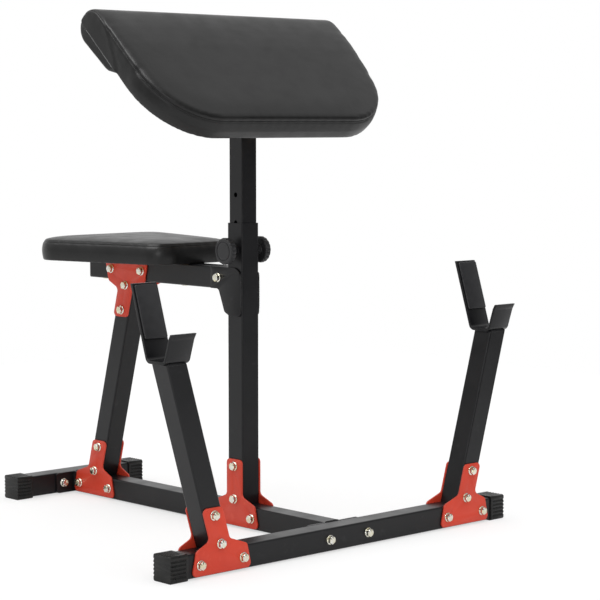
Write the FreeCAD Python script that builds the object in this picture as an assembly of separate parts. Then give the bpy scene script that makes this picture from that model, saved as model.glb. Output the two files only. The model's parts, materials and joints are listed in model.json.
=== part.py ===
import FreeCAD, Part
import math
import os

# Preacher curl bench with bar cradles, in millimetres, +Z up.
# +X runs along the front crossbar and -Y is the front, away from the user.
# The origin is on the floor in the middle of the footprint.

# Square tube of the frame and of the sliding post inside it
tube = 40.0
tube_wall = 2.0
tube_corner = 3.0
slide_gap = 0.5
slider_wall = 2.0
slider_corner = 2.0

# Footprint, with depths measured back from the middle of the front crossbar
front_width = 800.0
rear_width = 310.0
foot_spacing = 762.0
post_back = 254.0
seat_post_back = 671.0
rail_end_back = 681.0

# Rubber end caps
cap_wall = 2.5
cap_end = 4.0
cap_length = 36.0
cap_fit = 0.15
cap_corner = 4.0
cap_groove = 2.4
cap_groove_depth = 1.4
cap_groove_pitch = 6.6
cap_groove_count = 5
cap_groove_margin = 5.0

# Flanges on the ends of the main beam
flange_width = 126.0
flange_height = 40.0
flange_thick = 4.0
flange_corner = 6.0

# Hexagon flange bolts and nuts
bolt = 8.0
bolt_hole = 8.6
bolt_flats = 13.0
bolt_head = 5.4
bolt_flange = 17.0
bolt_flange_thick = 1.6
nut_height = 6.6
nut_bore_gap = 0.05
bolt_stub = 2.0
bolt_pitch = 92.0

# Gusset plates
gusset_thick = 3.0
gusset_width = 128.0
gusset_base_edge = 2.0
gusset_shoulder = 3.0
gusset_shoulder_inset = 9.5
gusset_neck = 41.0
gusset_neck_start = 16.5
gusset_tip = 13.0
gusset_corner = 8.0
gusset_fillet = 9.0
gusset_cap_gap = 7.5
neck_bolt_first = 10.0
neck_bolt_step = 50.0
post_bolt_step = 60.0

# Uprights and their bar cradles
upright_lean = 16.3
upright_top = 351.0
cradle_width = 50.0
cradle_thick = 5.0
cradle_lean = 17.5
cradle_bend = 7.0
cradle_overhang = 7.0
guide_rise = 125.0
lip_rise = 40.0
lip_flare = 10.0
lip_flare_lean = 30.0
liner_width = 46.0
liner_thick = 4.0
liner_corner = 3.0
liner_start = 39.0
liner_top_gap = 3.0

# Centre post, its height pin and its clamp
post_top = 552.5
pin_height = 503.0
pin_pitch = 50.0
pin_steps_up = 2
pin_steps_down = 2
pin = 8.0
pin_hole = 8.8
pin_fit = 0.06
pin_travel = 6.0
pin_tip_gap = 0.5
barrel = 20.0
barrel_length = 14.0
barrel_end = 2.5
barrel_bore = 14.0
collar = 13.4
collar_thick = 2.0
collar_seat_gap = 0.4
spring_mean = 10.6
spring_wire = 0.7
spring_pitch = 1.15
spring_turns = 2
spring_sides = 12
clamp_screw = 10.0
clamp_screw_hole = 10.8
clamp_tip_gap = 0.3
clamp_nut_flats = 17.0
clamp_nut_length = 9.0
knob = 48.0
knob_thick = 12.0
knob_gap = 15.5
knob_recess = 26.0
knob_recess_depth = 6.0
knob_rim = 3.0
knob_ring = 33.0
knob_ring_step = 1.2
knob_hub = 20.0
knob_flutes = 18
knob_flute = 5.0
knob_flute_depth = 1.2
knob_skin = 2.0
slider_below_holes = 30.0

# Seat rail, its brackets and its post
rail_bottom = 432.5
rail_front_gap = 1.0
rail_bolt_back = 298.0
plug_head = 3.0
plug_depth = 18.0
plug_fit = 0.15
plug_corner = 1.2
bracket_thick = 3.0
bracket_reach = 318.0
bracket_drop = 48.0
bracket_setback = 2.0
bracket_toe_back = 8.0
bracket_toe_run = 6.0
bracket_toe_rise = 7.0
bracket_throat = 22.0
bracket_corner = 8.0
bracket_top_corner = 20.0
bracket_edge = 1.0
seat_post_lean = 15.3

# Seat
seat_front_back = 376.0
seat_rear_back = 693.0
seat_front_width = 180.0
seat_rear_width = 334.0
seat_corner_front = 52.0
seat_corner_rear = 54.0
seat_thick = 37.0
seat_crown = 8.0
seat_crown_run = 60.0
seat_draw_in = 4.0
seat_board_thick = 15.0
seat_board_inset = 9.0
seat_bolt_front_back = 416.0
seat_bolt_rear_back = 654.0
seat_bolt_head = 15.0
seat_bolt_head_height = 3.0
seat_bolt_bite = 12.0

# Arm pad, in a frame that slopes up towards the user
pad_slope = 45.0
pad_foot_back = 124.0
pad_foot_height = 729.0
pad_width = 569.0
pad_length = 262.0
pad_thick = 37.0
pad_taper = 10.0
pad_edge = 0.0
pad_crown = 11.0
pad_crown_run = 16.0
pad_crown_top = 4.0
pad_draw_in = 3.4
pad_low_corner = 128.0
pad_high_corner = 14.0
pad_board_thick = 15.0
pad_board_inset = 10.0
pad_board_length = 246.0
roll_start = 158.0
roll_crest = 235.0
roll_end = 293.0
roll_top = 6.0
roll_depth = 62.5
roll_heel = 52.0
roll_heel_run = 22.0
roll_heel_round = 22.0
roll_nose = 32.0
roll_end_round = 6.5
roll_end_inset = 5.0
roll_shoulder_back = 2.2
roll_shoulder_inset = 1.8
pad_plate_thick = 4.0
pad_plate_width = 190.0
pad_plate_start = 56.0
pad_plate_end = 156.0
pad_plate_corner = 10.0
pad_bolt_spread = 140.0
pad_bolt_low = 74.0
pad_bolt_high = 138.0
pad_bolt_bite = 11.0

# Upholstery stands this far off the rigid pieces that it covers
soft_gap = 0.3
skirt_gap = 0.6
side_steps = 4
crown_steps = 4
soft_corner_least = 6.0

# Points closer than this are one point
same_point = 1e-7

# Places that follow from the sizes
half = tube / 2
upright_base = front_width / 2 - cap_length - gusset_cap_gap - gusset_width / 2
slider = tube - 2 * tube_wall - 2 * slide_gap
beam_low = cap_wall
beam_mid = beam_low + half
beam_top = beam_low + tube
rail_mid = rail_bottom + half
rail_top = rail_bottom + tube
nut_seat_gap = bolt_flange_thick + nut_height
lip_lean_run = math.tan(math.radians(cradle_lean)) * lip_rise
lip_flare_run = math.tan(math.radians(lip_flare_lean)) * lip_flare
front_reach = half + lip_lean_run + lip_flare_run
rear_reach = half + nut_seat_gap + bolt_stub
front_y = (front_reach - rear_reach - foot_spacing) / 2
rear_y = front_y + foot_spacing
post_y = front_y + post_back

X = FreeCAD.Vector(1, 0, 0)
Y = FreeCAD.Vector(0, 1, 0)
Z = FreeCAD.Vector(0, 0, 1)


def at(x, y, z):
    """Point of the bench."""
    return FreeCAD.Vector(x, y, z)


def tangent(degrees):
    """Run for each unit of rise of a line that leans by this angle."""
    return math.tan(math.radians(degrees))


def block(low, high):
    """Box between two corners."""
    size = high - low
    return Part.makeBox(size.x, size.y, size.z, low)


def rounded_wire(corners, level=0.0):
    """Closed outline through (x, y, radius) corners, each rounded by a tangent arc, at a level."""
    edges = []
    ends = []
    count = len(corners)
    for i, (x, y, radius) in enumerate(corners):
        corner = at(x, y, level)
        before = at(corners[i - 1][0], corners[i - 1][1], level) - corner
        after = at(corners[(i + 1) % count][0], corners[(i + 1) % count][1], level) - corner
        before.normalize()
        after.normalize()
        if radius <= 0:
            ends.append((corner, corner, corner))
            continue
        turn = before.getAngle(after) / 2
        middle = before + after
        middle.normalize()
        reach = radius / math.tan(turn)
        centre = corner + middle * (radius / math.sin(turn))
        ends.append((corner + before * reach, centre - middle * radius, corner + after * reach))
    for i, (start, crest, end) in enumerate(ends):
        if not start.isEqual(end, same_point):
            edges.append(Part.Arc(start, crest, end).toShape())
        following = ends[(i + 1) % count][0]
        if not end.isEqual(following, same_point):
            edges.append(Part.LineSegment(end, following).toShape())
    return Part.Wire(edges)


def rectangle(width, height, radius, level=0.0):
    """Rounded rectangle centred on the local origin."""
    w = width / 2
    h = height / 2
    return rounded_wire([(-w, -h, radius), (w, -h, radius), (w, h, radius), (-w, h, radius)], level)


def plate(wire, thick):
    """Flat plate raised from an outline along local +Z."""
    return Part.Face(wire).extrude(at(0, 0, thick))


def set_in(shape, origin, along, up):
    """Copy of a shape with its local x and y axes laid along two directions at a point."""
    turned = shape.copy()
    frame = FreeCAD.Placement(origin, FreeCAD.Rotation(along, up, along.cross(up), "XYZ"))
    turned.Placement = frame.multiply(shape.Placement)
    return turned


def aimed(shape, point, direction):
    """Copy of a shape with its local z axis along a direction at a point."""
    turned = shape.copy()
    frame = FreeCAD.Placement(point, FreeCAD.Rotation(Z, direction))
    turned.Placement = frame.multiply(shape.Placement)
    return turned


def hole(point, direction, diameter, length):
    """Drill for a hole, centred on a point."""
    return Part.makeCylinder(diameter / 2, length, point - direction * (length / 2), direction)


def hexagon(flats, height):
    """Hexagonal prism standing on the local origin."""
    sides = 6
    radius = flats / 2 / math.cos(math.pi / sides)
    points = []
    for i in range(sides + 1):
        angle = 2 * math.pi * i / sides
        points.append(at(radius * math.cos(angle), radius * math.sin(angle), 0))
    return plate(Part.makePolygon(points), height)


def square_tube(size, wall, corner, length):
    """Hollow square tube along local +Z."""
    inner = size - 2 * wall
    outside = plate(rectangle(size, size, corner), length)
    return outside.cut(plate(rectangle(inner, inner, max(corner - wall, wall / 4)), length))


def hex_bolt(grip):
    """Flange bolt with its head below z = 0 and its shank through a grip and a nut."""
    shank = Part.makeCylinder(bolt / 2, grip + nut_seat_gap + bolt_stub)
    flange = Part.makeCylinder(bolt_flange / 2, bolt_flange_thick, at(0, 0, -bolt_flange_thick))
    head = hexagon(bolt_flats, bolt_head)
    head.translate(at(0, 0, -bolt_flange_thick - bolt_head))
    return shank.fuse([flange, head]).removeSplitter()


def hex_nut():
    """Flange nut seated on z = 0."""
    body = hexagon(bolt_flats, nut_height)
    body.translate(at(0, 0, bolt_flange_thick))
    flange = Part.makeCylinder(bolt_flange / 2, bolt_flange_thick)
    bore = Part.makeCylinder(bolt / 2 + nut_bore_gap, nut_seat_gap)
    return body.fuse(flange).cut(bore).removeSplitter()


def through_bolts(points, direction, grip):
    """Bolts that enter at points along a direction, and the nuts on their far ends."""
    bolts = [aimed(hex_bolt(grip), point, direction) for point in points]
    nuts = [aimed(hex_nut(), point + direction * grip, direction) for point in points]
    return bolts, nuts


class Knee:
    """Leg that stands on a tube, held by a gusset plate on each side and four bolts through both."""

    def __init__(self, foot, along, up, lean, step):
        self.foot = foot
        self.along = along
        self.up = up
        self.lean = lean
        self.step = step
        self.across = along.cross(up)

    def middle(self, rise):
        """Local (x, y) on the leg's middle line at a distance up the leg."""
        angle = math.radians(self.lean)
        return rise * math.sin(angle), rise * math.cos(angle)

    def neck(self, height, side):
        """Local (x, y) at a height on the right (+1) or left (-1) edge of the gusset's neck."""
        spread = gusset_neck / 2 / math.cos(math.radians(self.lean))
        return height * tangent(self.lean) + side * spread, height

    def outline(self):
        """Outline of a gusset: a wide foot on the tube and a neck that follows the leg."""
        w = gusset_width / 2
        start = gusset_neck_start
        tip = self.middle(neck_bolt_first + self.step)[1] + gusset_tip
        low = -tube + gusset_base_edge
        inset = w - gusset_shoulder_inset
        return rounded_wire([
            (-w, low, gusset_corner), (w, low, gusset_corner), (inset, gusset_shoulder, gusset_corner),
            (*self.neck(start, 1), gusset_fillet), (*self.neck(tip, 1), gusset_corner),
            (*self.neck(tip, -1), gusset_corner), (*self.neck(start, -1), gusset_fillet),
            (-inset, gusset_shoulder, gusset_corner)])

    def bolt_places(self):
        """Local (x, y) of the two bolts in the tube and the two in the leg."""
        spread = bolt_pitch / 2
        first = self.middle(neck_bolt_first)
        second = self.middle(neck_bolt_first + self.step)
        return [(-spread, -half), (spread, -half), first, second]

    def point(self, place, out=0.0):
        """Point of the bench at a local place and a distance out from the tube's middle plane."""
        return self.foot + self.along * place[0] + self.up * place[1] + self.across * out

    def drills(self):
        """Bolt holes through tube, leg and both plates."""
        reach = tube + 4 * gusset_thick
        return [hole(self.point(place), self.across, bolt_hole, reach) for place in self.bolt_places()]

    def gusset(self, side):
        """Plate on the side that the across direction points to (+1) or on the other side (-1)."""
        out = half if side > 0 else -half - gusset_thick
        origin = self.foot + self.across * out
        sheet = set_in(plate(self.outline(), gusset_thick), origin, self.along, self.up)
        return sheet.cut(self.drills())

    def fasteners(self, head_side):
        """Bolts with their heads on one side and nuts on the other."""
        out = head_side * (half + gusset_thick)
        points = [self.point(place, out) for place in self.bolt_places()]
        return through_bolts(points, self.across * -head_side, tube + 2 * gusset_thick)

    def leg(self, top):
        """Leaning tube cut level at the foot and at a height along the up direction."""
        angle = math.radians(self.lean)
        axis = self.along * math.sin(angle) + self.up * math.cos(angle)
        length = (top + 2 * tube) / math.cos(angle)
        bar = square_tube(tube, tube_wall, tube_corner, length)
        bar = set_in(bar, self.foot - axis * tube, self.across, axis.cross(self.across))
        reach = top + gusset_width
        slab = plate(rectangle(2 * reach, 2 * reach, 0), top)
        slab = set_in(slab, self.foot, self.along, self.across * -1)
        return bar.common(slab).cut(self.drills())


left_knee = Knee(at(-upright_base, front_y, beam_top), X * -1, Z, upright_lean, neck_bolt_step)
right_knee = Knee(at(upright_base, front_y, beam_top), X, Z, upright_lean, neck_bolt_step)
post_knee = Knee(at(0, post_y, beam_top), Y * -1, Z, 0.0, post_bolt_step)
seat_low_knee = Knee(at(0, front_y + seat_post_back, beam_top), Y * -1, Z, seat_post_lean, neck_bolt_step)
seat_post_shift = (rail_bottom - beam_top) * tangent(seat_post_lean)
seat_top_y = front_y + seat_post_back - seat_post_shift
seat_top_knee = Knee(at(0, seat_top_y, rail_bottom), Y, Z * -1, seat_post_lean, neck_bolt_step)


def long_tube(start, direction, length):
    """Frame tube laid level from a point on its middle line."""
    return set_in(square_tube(tube, tube_wall, tube_corner, length), start, Z, direction.cross(Z))


def flange_places(y):
    """The two bolt points of a beam flange on a level plane of the beam's middle."""
    return [at(-bolt_pitch / 2, y, beam_mid), at(bolt_pitch / 2, y, beam_mid)]


def cross_tube(width, y):
    """Floor tube across the bench, between its end caps, drilled for the beam's flange."""
    length = width - 2 * cap_end
    bar = long_tube(at(-length / 2, y, beam_mid), X, length)
    return bar.cut([hole(point, Y, bolt_hole, 2 * tube) for point in flange_places(y)])


def front_crossbar():
    """Front floor tube with holes for both uprights."""
    return cross_tube(front_width, front_y).cut(left_knee.drills() + right_knee.drills())


def main_beam():
    """Beam between the feet with a welded flange on each end."""
    start = front_y + half
    end = rear_y - half
    bar = long_tube(at(0, start + flange_thick, beam_mid), Y, end - start - 2 * flange_thick)
    sheet = plate(rectangle(flange_width, flange_height, flange_corner), flange_thick)
    flanges = [set_in(sheet, at(0, y, beam_mid), X * -1, Z) for y in (start, end - flange_thick)]
    holes = [hole(point, Y, bolt_hole, 4 * flange_thick) for y in (start, end) for point in flange_places(y)]
    beam = bar.fuse(flanges).removeSplitter()
    return beam.cut(holes + post_knee.drills() + seat_low_knee.drills())


def flange_fasteners(y, direction):
    """Bolts through a floor tube and a flange, headed on the side that they enter from."""
    return through_bolts(flange_places(y), direction, tube + flange_thick)


def end_cap(x, y):
    """Ribbed rubber cap on the end of a floor tube: grooves on three sides run out through its end."""
    side = tube + 2 * cap_wall
    body = plate(rectangle(side, side, cap_corner), cap_length)
    pocket = tube + 2 * cap_fit
    socket = plate(rectangle(pocket, pocket, tube_corner), cap_length - cap_end)
    cuts = [socket]
    for i in range(cap_groove_count):
        offset = (i - (cap_groove_count - 1) / 2) * cap_groove_pitch
        low = offset - cap_groove / 2
        high = offset + cap_groove / 2
        floor = side / 2 - cap_groove_depth
        cuts.append(block(at(floor, low, cap_groove_margin), at(side, high, cap_length)))
        cuts.append(block(at(low, floor, cap_groove_margin), at(high, side, cap_length)))
        cuts.append(block(at(low, -side, cap_groove_margin), at(high, -floor, cap_length)))
    outward = X if x > 0 else X * -1
    start = at(x, y, side / 2) - outward * cap_length
    return set_in(body.cut(cuts), start, Z, outward.cross(Z))


def cradle_profile():
    """Bent strip in (y, z): flat foot on the upright, flared front lip and tall rear guide."""
    lean = tangent(cradle_lean)
    skin = cradle_thick / math.cos(math.radians(cradle_lean))
    flare = tangent(lip_flare_lean)
    inner = half + cradle_thick * lean - skin
    rear = half + cradle_overhang
    lip_y = half + lip_lean_run
    lip_top_y = front_reach
    lip_top = lip_rise + lip_flare
    cap_skin = cradle_thick / math.cos(math.radians(lip_flare_lean))
    bend_z = lip_rise + (cap_skin - skin) / (flare - lean)
    bend_y = half + bend_z * lean - skin
    guide_y = rear + guide_rise * lean
    outside = cradle_bend + cradle_thick
    return rounded_wire([
        (-lip_top_y, lip_top, 0), (-lip_y, lip_rise, outside), (-half, 0, outside), (rear, 0, outside),
        (guide_y, guide_rise, 0), (guide_y - skin, guide_rise, 0),
        (inner + cradle_overhang, cradle_thick, cradle_bend), (-inner, cradle_thick, cradle_bend),
        (-bend_y, bend_z, cradle_bend), (-lip_top_y + cap_skin, lip_top, 0)])


def upright_top_x():
    """Distance of the upright's middle line from the bench's middle plane at its cut top."""
    return upright_base + (upright_top - beam_top) * tangent(upright_lean)


def bar_cradle(side):
    """Cradle strip centred on the top of the left (-1) or right (+1) upright."""
    strip = plate(cradle_profile(), cradle_width)
    return set_in(strip, at(side * upright_top_x() - cradle_width / 2, front_y, upright_top), Y, Z)


def cradle_liner(side):
    """Wear strip on the bar side of the tall guide, with rounded upper corners."""
    angle = math.radians(cradle_lean)
    w = liner_width / 2
    rise = (guide_rise - liner_top_gap) / math.cos(angle)
    strip = plate(rounded_wire([(-w, liner_start, liner_corner), (w, liner_start, liner_corner),
                                (w, rise, liner_corner), (-w, rise, liner_corner)]), liner_thick)
    skin = cradle_thick / math.cos(angle)
    up = at(0, math.sin(angle), math.cos(angle))
    foot = front_y + half + cradle_overhang - skin
    return set_in(strip, at(side * upright_top_x(), foot, upright_top), X, up)


def centre_post():
    """Outer post with a pin hole on the left side and a clamp hole on the right."""
    bar = square_tube(tube, tube_wall, tube_corner, post_top - beam_top)
    bar.translate(at(0, post_y, beam_top))
    left_hole = hole(at(-half, post_y, pin_height), X, pin_hole, half)
    right_hole = hole(at(half, post_y, pin_height), X, clamp_screw_hole, half)
    return bar.cut(post_knee.drills() + [left_hole, right_hole])


def pad_frame(shape):
    """Set a shape from pad coordinates (x, up the slope, off the face) into the bench."""
    angle = math.radians(pad_slope)
    up = at(0, math.cos(angle), math.sin(angle))
    return set_in(shape, at(0, front_y + pad_foot_back, pad_foot_height), X, up)


def inner_post():
    """Sliding post with a row of pin holes, mitred under the pad's plate."""
    bottom = pin_height - pin_steps_up * pin_pitch - slider_below_holes
    bar = square_tube(slider, slider_wall, slider_corner, pad_foot_height + pad_length - bottom)
    bar.translate(at(0, post_y, bottom))
    reach = pad_foot_height + pad_length
    under = -pad_thick - pad_plate_thick
    above = pad_frame(block(at(-reach, -reach, under), at(reach, reach, reach)))
    behind = pad_frame(block(at(-reach, pad_plate_end, -pad_plate_width), at(reach, reach, reach)))
    holes = []
    for i in range(-pin_steps_up, pin_steps_down + 1):
        holes.append(hole(at(-slider / 2, post_y, pin_height + i * pin_pitch), X, pin_hole, 2 * pin_hole))
    return bar.cut([above, behind] + holes)


def rail_bracket(side):
    """Plate welded to the side of the post, which carries the front of the seat rail."""
    front = -half + bracket_setback
    toe = rail_bottom - bracket_drop
    reach = bracket_reach - post_back
    outline = rounded_wire([
        (reach, rail_bottom, bracket_edge), (reach, rail_top, bracket_edge),
        (front, rail_top, bracket_top_corner), (front, toe, bracket_corner),
        (half - bracket_toe_back, toe, bracket_corner),
        (half + bracket_toe_run, toe + bracket_toe_rise, bracket_corner),
        (half + bracket_throat, rail_bottom, bracket_corner)])
    out = half if side > 0 else -half - bracket_thick
    sheet = set_in(plate(outline, bracket_thick), at(out, post_y, 0), Y, Z)
    return sheet.cut(hole(rail_bolt_point(), X, bolt_hole, 2 * tube))


def rail_bolt_point():
    """Middle of the bolt that joins the rail to its brackets."""
    return at(0, front_y + rail_bolt_back, rail_mid)


def rail_fasteners():
    """The bolt and nut through both brackets and the rail."""
    reach = half + bracket_thick
    return through_bolts([rail_bolt_point() - X * reach], X, 2 * reach)


def seat_bolt_places():
    """Places along the rail of the bolts that hold the seat."""
    return [at(0, front_y + back, rail_bottom) for back in (seat_bolt_front_back, seat_bolt_rear_back)]


def seat_rail():
    """Seat rail from the post to its rear plug, drilled for its bracket, its post and the seat."""
    start = post_y + half + rail_front_gap
    end = front_y + rail_end_back - plug_head
    bar = long_tube(at(0, start, rail_mid), Y, end - start)
    holes = [hole(rail_bolt_point(), X, bolt_hole, 2 * tube)]
    holes += [hole(point + Z * half, Z, bolt_hole, 2 * tube) for point in seat_bolt_places()]
    return bar.cut(holes + seat_top_knee.drills())


def rail_plug():
    """Plastic plug in the rear end of the seat rail."""
    body = tube - 2 * tube_wall - 2 * plug_fit
    head = plate(rectangle(tube, tube, tube_corner), plug_head)
    stem = plate(rectangle(body, body, plug_corner), plug_depth)
    stem.translate(at(0, 0, -plug_depth))
    place = at(0, front_y + rail_end_back - plug_head, rail_mid)
    return set_in(head.fuse(stem), place, Z, Y.cross(Z))


def seat_outline(inset, level):
    """Seat plan, narrow at the front and wide at the rear, drawn in by an inset."""
    front = front_y + seat_front_back + inset
    rear = front_y + seat_rear_back - inset
    slant = (seat_rear_width - seat_front_width) / 2 / (seat_rear_back - seat_front_back)
    side = inset * math.sqrt(1 + slant * slant)
    wf = seat_front_width / 2 + slant * inset - side
    wr = seat_rear_width / 2 - slant * inset - side
    rf = max(seat_corner_front - inset, soft_corner_least)
    rr = max(seat_corner_rear - inset, soft_corner_least)
    return rounded_wire([(-wf, front, rf), (wf, front, rf), (wr, rear, rr), (-wr, rear, rr)], level)


def seat_board():
    """Plywood under the seat cushion, bolted on the rail."""
    board = plate(seat_outline(seat_board_inset, rail_top), seat_board_thick)
    reach = 4 * seat_board_thick
    return board.cut([hole(point + Z * tube, Z, bolt_hole, reach) for point in seat_bolt_places()])


def crowned(outline, low, top, draw_in, run, rise):
    """Soft solid of an outline: sides drawn in above and below, and a crown over the top.

    The sides follow a parabola that is fullest at half height.  The crown is a quarter ellipse that
    runs in from the top edge and rises to its middle.
    """
    skin = []
    for i in range(side_steps + 1):
        share = i / side_steps
        skin.append(outline(draw_in * (2 * share - 1) ** 2, low + share * (top - low)))
    for i in range(1, crown_steps + 1):
        angle = math.pi / 2 * i / crown_steps
        skin.append(outline(draw_in + run * (1 - math.cos(angle)), top + rise * math.sin(angle)))
    return Part.makeLoft(skin, True, True)


def seat_cushion():
    """Seat upholstery over its board, which sits in a pocket underneath."""
    top = rail_top + seat_thick
    soft = crowned(seat_outline, rail_top + skirt_gap, top, seat_draw_in, seat_crown_run, seat_crown)
    pocket = plate(seat_outline(seat_board_inset - soft_gap, rail_top - skirt_gap),
                   seat_board_thick + soft_gap + skirt_gap)
    return soft.cut(pocket)


def pan_bolt(length):
    """Low round-headed bolt with its head below z = 0."""
    head = Part.makeCylinder(seat_bolt_head / 2, seat_bolt_head_height, at(0, 0, -seat_bolt_head_height))
    return Part.makeCylinder(bolt / 2, length).fuse(head).removeSplitter()


def seat_bolts():
    """Bolts up through the rail into the seat board."""
    return [aimed(pan_bolt(tube + seat_bolt_bite), point, Z) for point in seat_bolt_places()]


def pad_plan(inset, top, high, level):
    """Plan in pad coordinates up to a top edge: large lower corners and sides that taper downwards."""
    wide = pad_width / 2 - inset
    narrow = wide - pad_taper
    low = pad_low_corner - inset
    corners = [(-narrow, inset, low), (narrow, inset, low), (wide, top, high), (-wide, top, high)]
    return rounded_wire(corners, level)


def pad_outline(inset, level):
    """Arm pad plan drawn in by an inset, which is larger on the top edge, under the roll."""
    high = max(pad_high_corner - inset, soft_corner_least)
    return pad_plan(inset, pad_length - pad_crown_top * inset, high, level)


def pad_bolt_places():
    """Places of the pad bolts in pad coordinates."""
    return [(sign * pad_bolt_spread / 2, y) for y in (pad_bolt_low, pad_bolt_high) for sign in (-1, 1)]


def pad_drills():
    """Bolt holes through the pad's plate and board."""
    return [hole(at(x, y, -pad_thick), Z, bolt_hole, 4 * pad_board_thick) for x, y in pad_bolt_places()]


def pad_plate():
    """Sloping steel plate on the sliding post that carries the arm pad."""
    length = pad_plate_end - pad_plate_start
    sheet = plate(rectangle(pad_plate_width, length, pad_plate_corner), pad_plate_thick)
    sheet.translate(at(0, pad_plate_start + length / 2, -pad_thick - pad_plate_thick))
    return pad_frame(sheet.cut(pad_drills()))


def board_outline(grow, level):
    """Outline of the pad board in pad coordinates, grown by a gap."""
    return pad_plan(pad_board_inset - grow, pad_board_length + grow, 0, level)


def pad_board():
    """Plywood at the back of the arm pad."""
    board = plate(board_outline(0.0, -pad_thick), pad_board_thick)
    return pad_frame(board.cut(pad_drills()))


def roll_profile(inset):
    """Section of the armpit roll in (up the slope, off the face), drawn in by an inset."""
    start = roll_start + inset
    end = roll_end - inset
    deep = -roll_depth + inset
    heel = -roll_heel + inset
    top = roll_top - inset
    nose = roll_nose - inset
    return [(roll_crest, top, 0), (end, top, nose), (end, deep, nose),
            (start + roll_heel_run, heel, roll_heel_round), (start, -pad_thick + inset, 0)]


def pad_roll():
    """Roll across the top of the pad, with rounded ends."""
    sections = []
    for side in (-1, 1):
        shoulder = (roll_shoulder_back, roll_shoulder_inset)
        stations = [(roll_end_round, 0.0), shoulder, (0.0, roll_end_inset)]
        for back, inset in (stations[::-1] if side < 0 else stations):
            x = side * (pad_width / 2 - back)
            wire = rounded_wire(roll_profile(inset))
            sections.append(set_in(wire, at(x, 0, 0), Y, Z))
    return Part.makeLoft(sections, True, True)


def pad_cushion():
    """Arm pad upholstery: crowned slab and armpit roll with a pocket for the board."""
    rise = pad_edge + pad_crown
    slab = crowned(pad_outline, -pad_thick + skirt_gap, -pad_edge, pad_draw_in, pad_crown_run, rise)
    soft = slab.fuse(pad_roll())
    pocket = plate(board_outline(soft_gap, -pad_thick - skirt_gap), pad_board_thick + soft_gap + skirt_gap)
    return pad_frame(soft.cut(pocket))


def pad_bolts():
    """Bolts up through the plate into the pad board."""
    under = -pad_thick - pad_plate_thick
    bolts = []
    for x, y in pad_bolt_places():
        screw = pan_bolt(pad_plate_thick + pad_bolt_bite)
        screw.translate(at(x, y, under))
        bolts.append(pad_frame(screw))
    return bolts


def turned(profile, x, outward):
    """Solid of revolution about a line along X: (distance out, radius) points from a place, outwards."""
    points = [at(radius, 0, out) for out, radius in profile]
    face = Part.Face(Part.makePolygon(points + points[:1]))
    return aimed(face.revolve(at(0, 0, 0), Z, 360), at(x, post_y, pin_height), X * outward)


def fluted(body, start, outward):
    """Cut shallow flutes round the rim of a knob."""
    cuts = []
    for i in range(knob_flutes):
        angle = 2 * math.pi * i / knob_flutes
        radius = knob / 2 + knob_flute / 2 - knob_flute_depth
        place = at(start, post_y + radius * math.cos(angle), pin_height + radius * math.sin(angle))
        cuts.append(Part.makeCylinder(knob_flute / 2, knob_thick, place, X * outward))
    return body.cut(cuts)


def knob_face():
    """Outline of a knob's rim and stepped front, from its back outwards."""
    edge = knob / 2
    ring = knob_ring / 2
    return [(0, edge - knob_rim / 2), (knob_rim / 2, edge), (knob_thick - knob_rim, edge),
            (knob_thick, edge - knob_rim), (knob_thick, ring + knob_ring_step),
            (knob_thick - knob_ring_step, ring), (knob_thick, ring - knob_ring_step), (knob_thick, 0)]


def pin_knob():
    """Hollow-backed pull knob fixed on the end of the height pin."""
    start = -half - knob_gap
    recess = knob_recess / 2
    bore = pin / 2 + pin_fit
    blind = knob_thick - knob_skin
    profile = [(knob_recess_depth, bore), (knob_recess_depth, recess), (0, recess)] + knob_face()
    profile += [(blind, 0), (blind, bore)]
    return fluted(turned(profile, start, -1), start, -1)


def clamp_knob():
    """Clamp knob with a hub that turns with its screw."""
    start = half + knob_gap
    hub = knob_hub / 2
    bore = clamp_screw / 2 + pin_fit
    hub_start = clamp_nut_length + clamp_tip_gap - knob_gap
    blind = knob_thick - knob_skin
    profile = [(hub_start, bore), (hub_start, hub), (0, hub)] + knob_face() + [(blind, 0), (blind, bore)]
    return fluted(turned(profile, start, 1), start, 1)


def pin_barrel():
    """Guide barrel welded on the left of the post, with room for the spring inside."""
    bore = pin / 2 + pin_fit
    chamber = barrel_length - barrel_end
    return turned([(0, barrel_bore / 2), (0, barrel / 2), (barrel_length, barrel / 2), (barrel_length, bore),
                   (chamber, bore), (chamber, barrel_bore / 2)], -half, -1)


def collar_start():
    """Distance of the pin's collar from the post while the pin is drawn."""
    return collar_seat_gap + pin_travel


def pull_pin():
    """Height pin, drawn clear of the sliding post, with the collar that the spring pushes on."""
    tip = slider / 2 + pin_tip_gap - half
    near = collar_start()
    far = near + collar_thick
    end = knob_gap + knob_thick - knob_skin - pin_fit
    return turned([(tip, 0), (tip, pin / 2), (near, pin / 2), (near, collar / 2), (far, collar / 2),
                   (far, pin / 2), (end, pin / 2), (end, 0)], -half, -1)


def pin_spring():
    """Coil between the barrel's end and the pin's collar, of square wire."""
    inner = (spring_mean - spring_wire) / 2
    outer = (spring_mean + spring_wire) / 2
    low = -spring_wire / 2
    high = spring_wire / 2
    corners = [at(inner, 0, low), at(outer, 0, low), at(outer, 0, high), at(inner, 0, high)]
    sections = []
    for i in range(spring_sides * spring_turns + 1):
        wire = Part.makePolygon(corners + corners[:1])
        wire.rotate(at(0, 0, 0), Z, 360 * i / spring_sides)
        wire.translate(at(0, 0, spring_pitch * i / spring_sides))
        sections.append(wire)
    coil = Part.makeLoft(sections, True, True)
    start = collar_start() + collar_thick + spring_wire / 2 + pin_fit
    return aimed(coil, at(-half - start, post_y, pin_height), X * -1)


def clamp_nut():
    """Threaded boss welded on the right of the post."""
    body = hexagon(clamp_nut_flats, clamp_nut_length)
    bore = Part.makeCylinder(clamp_screw / 2 + pin_fit, clamp_nut_length)
    return aimed(body.cut(bore), at(half, post_y, pin_height), X)


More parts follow.
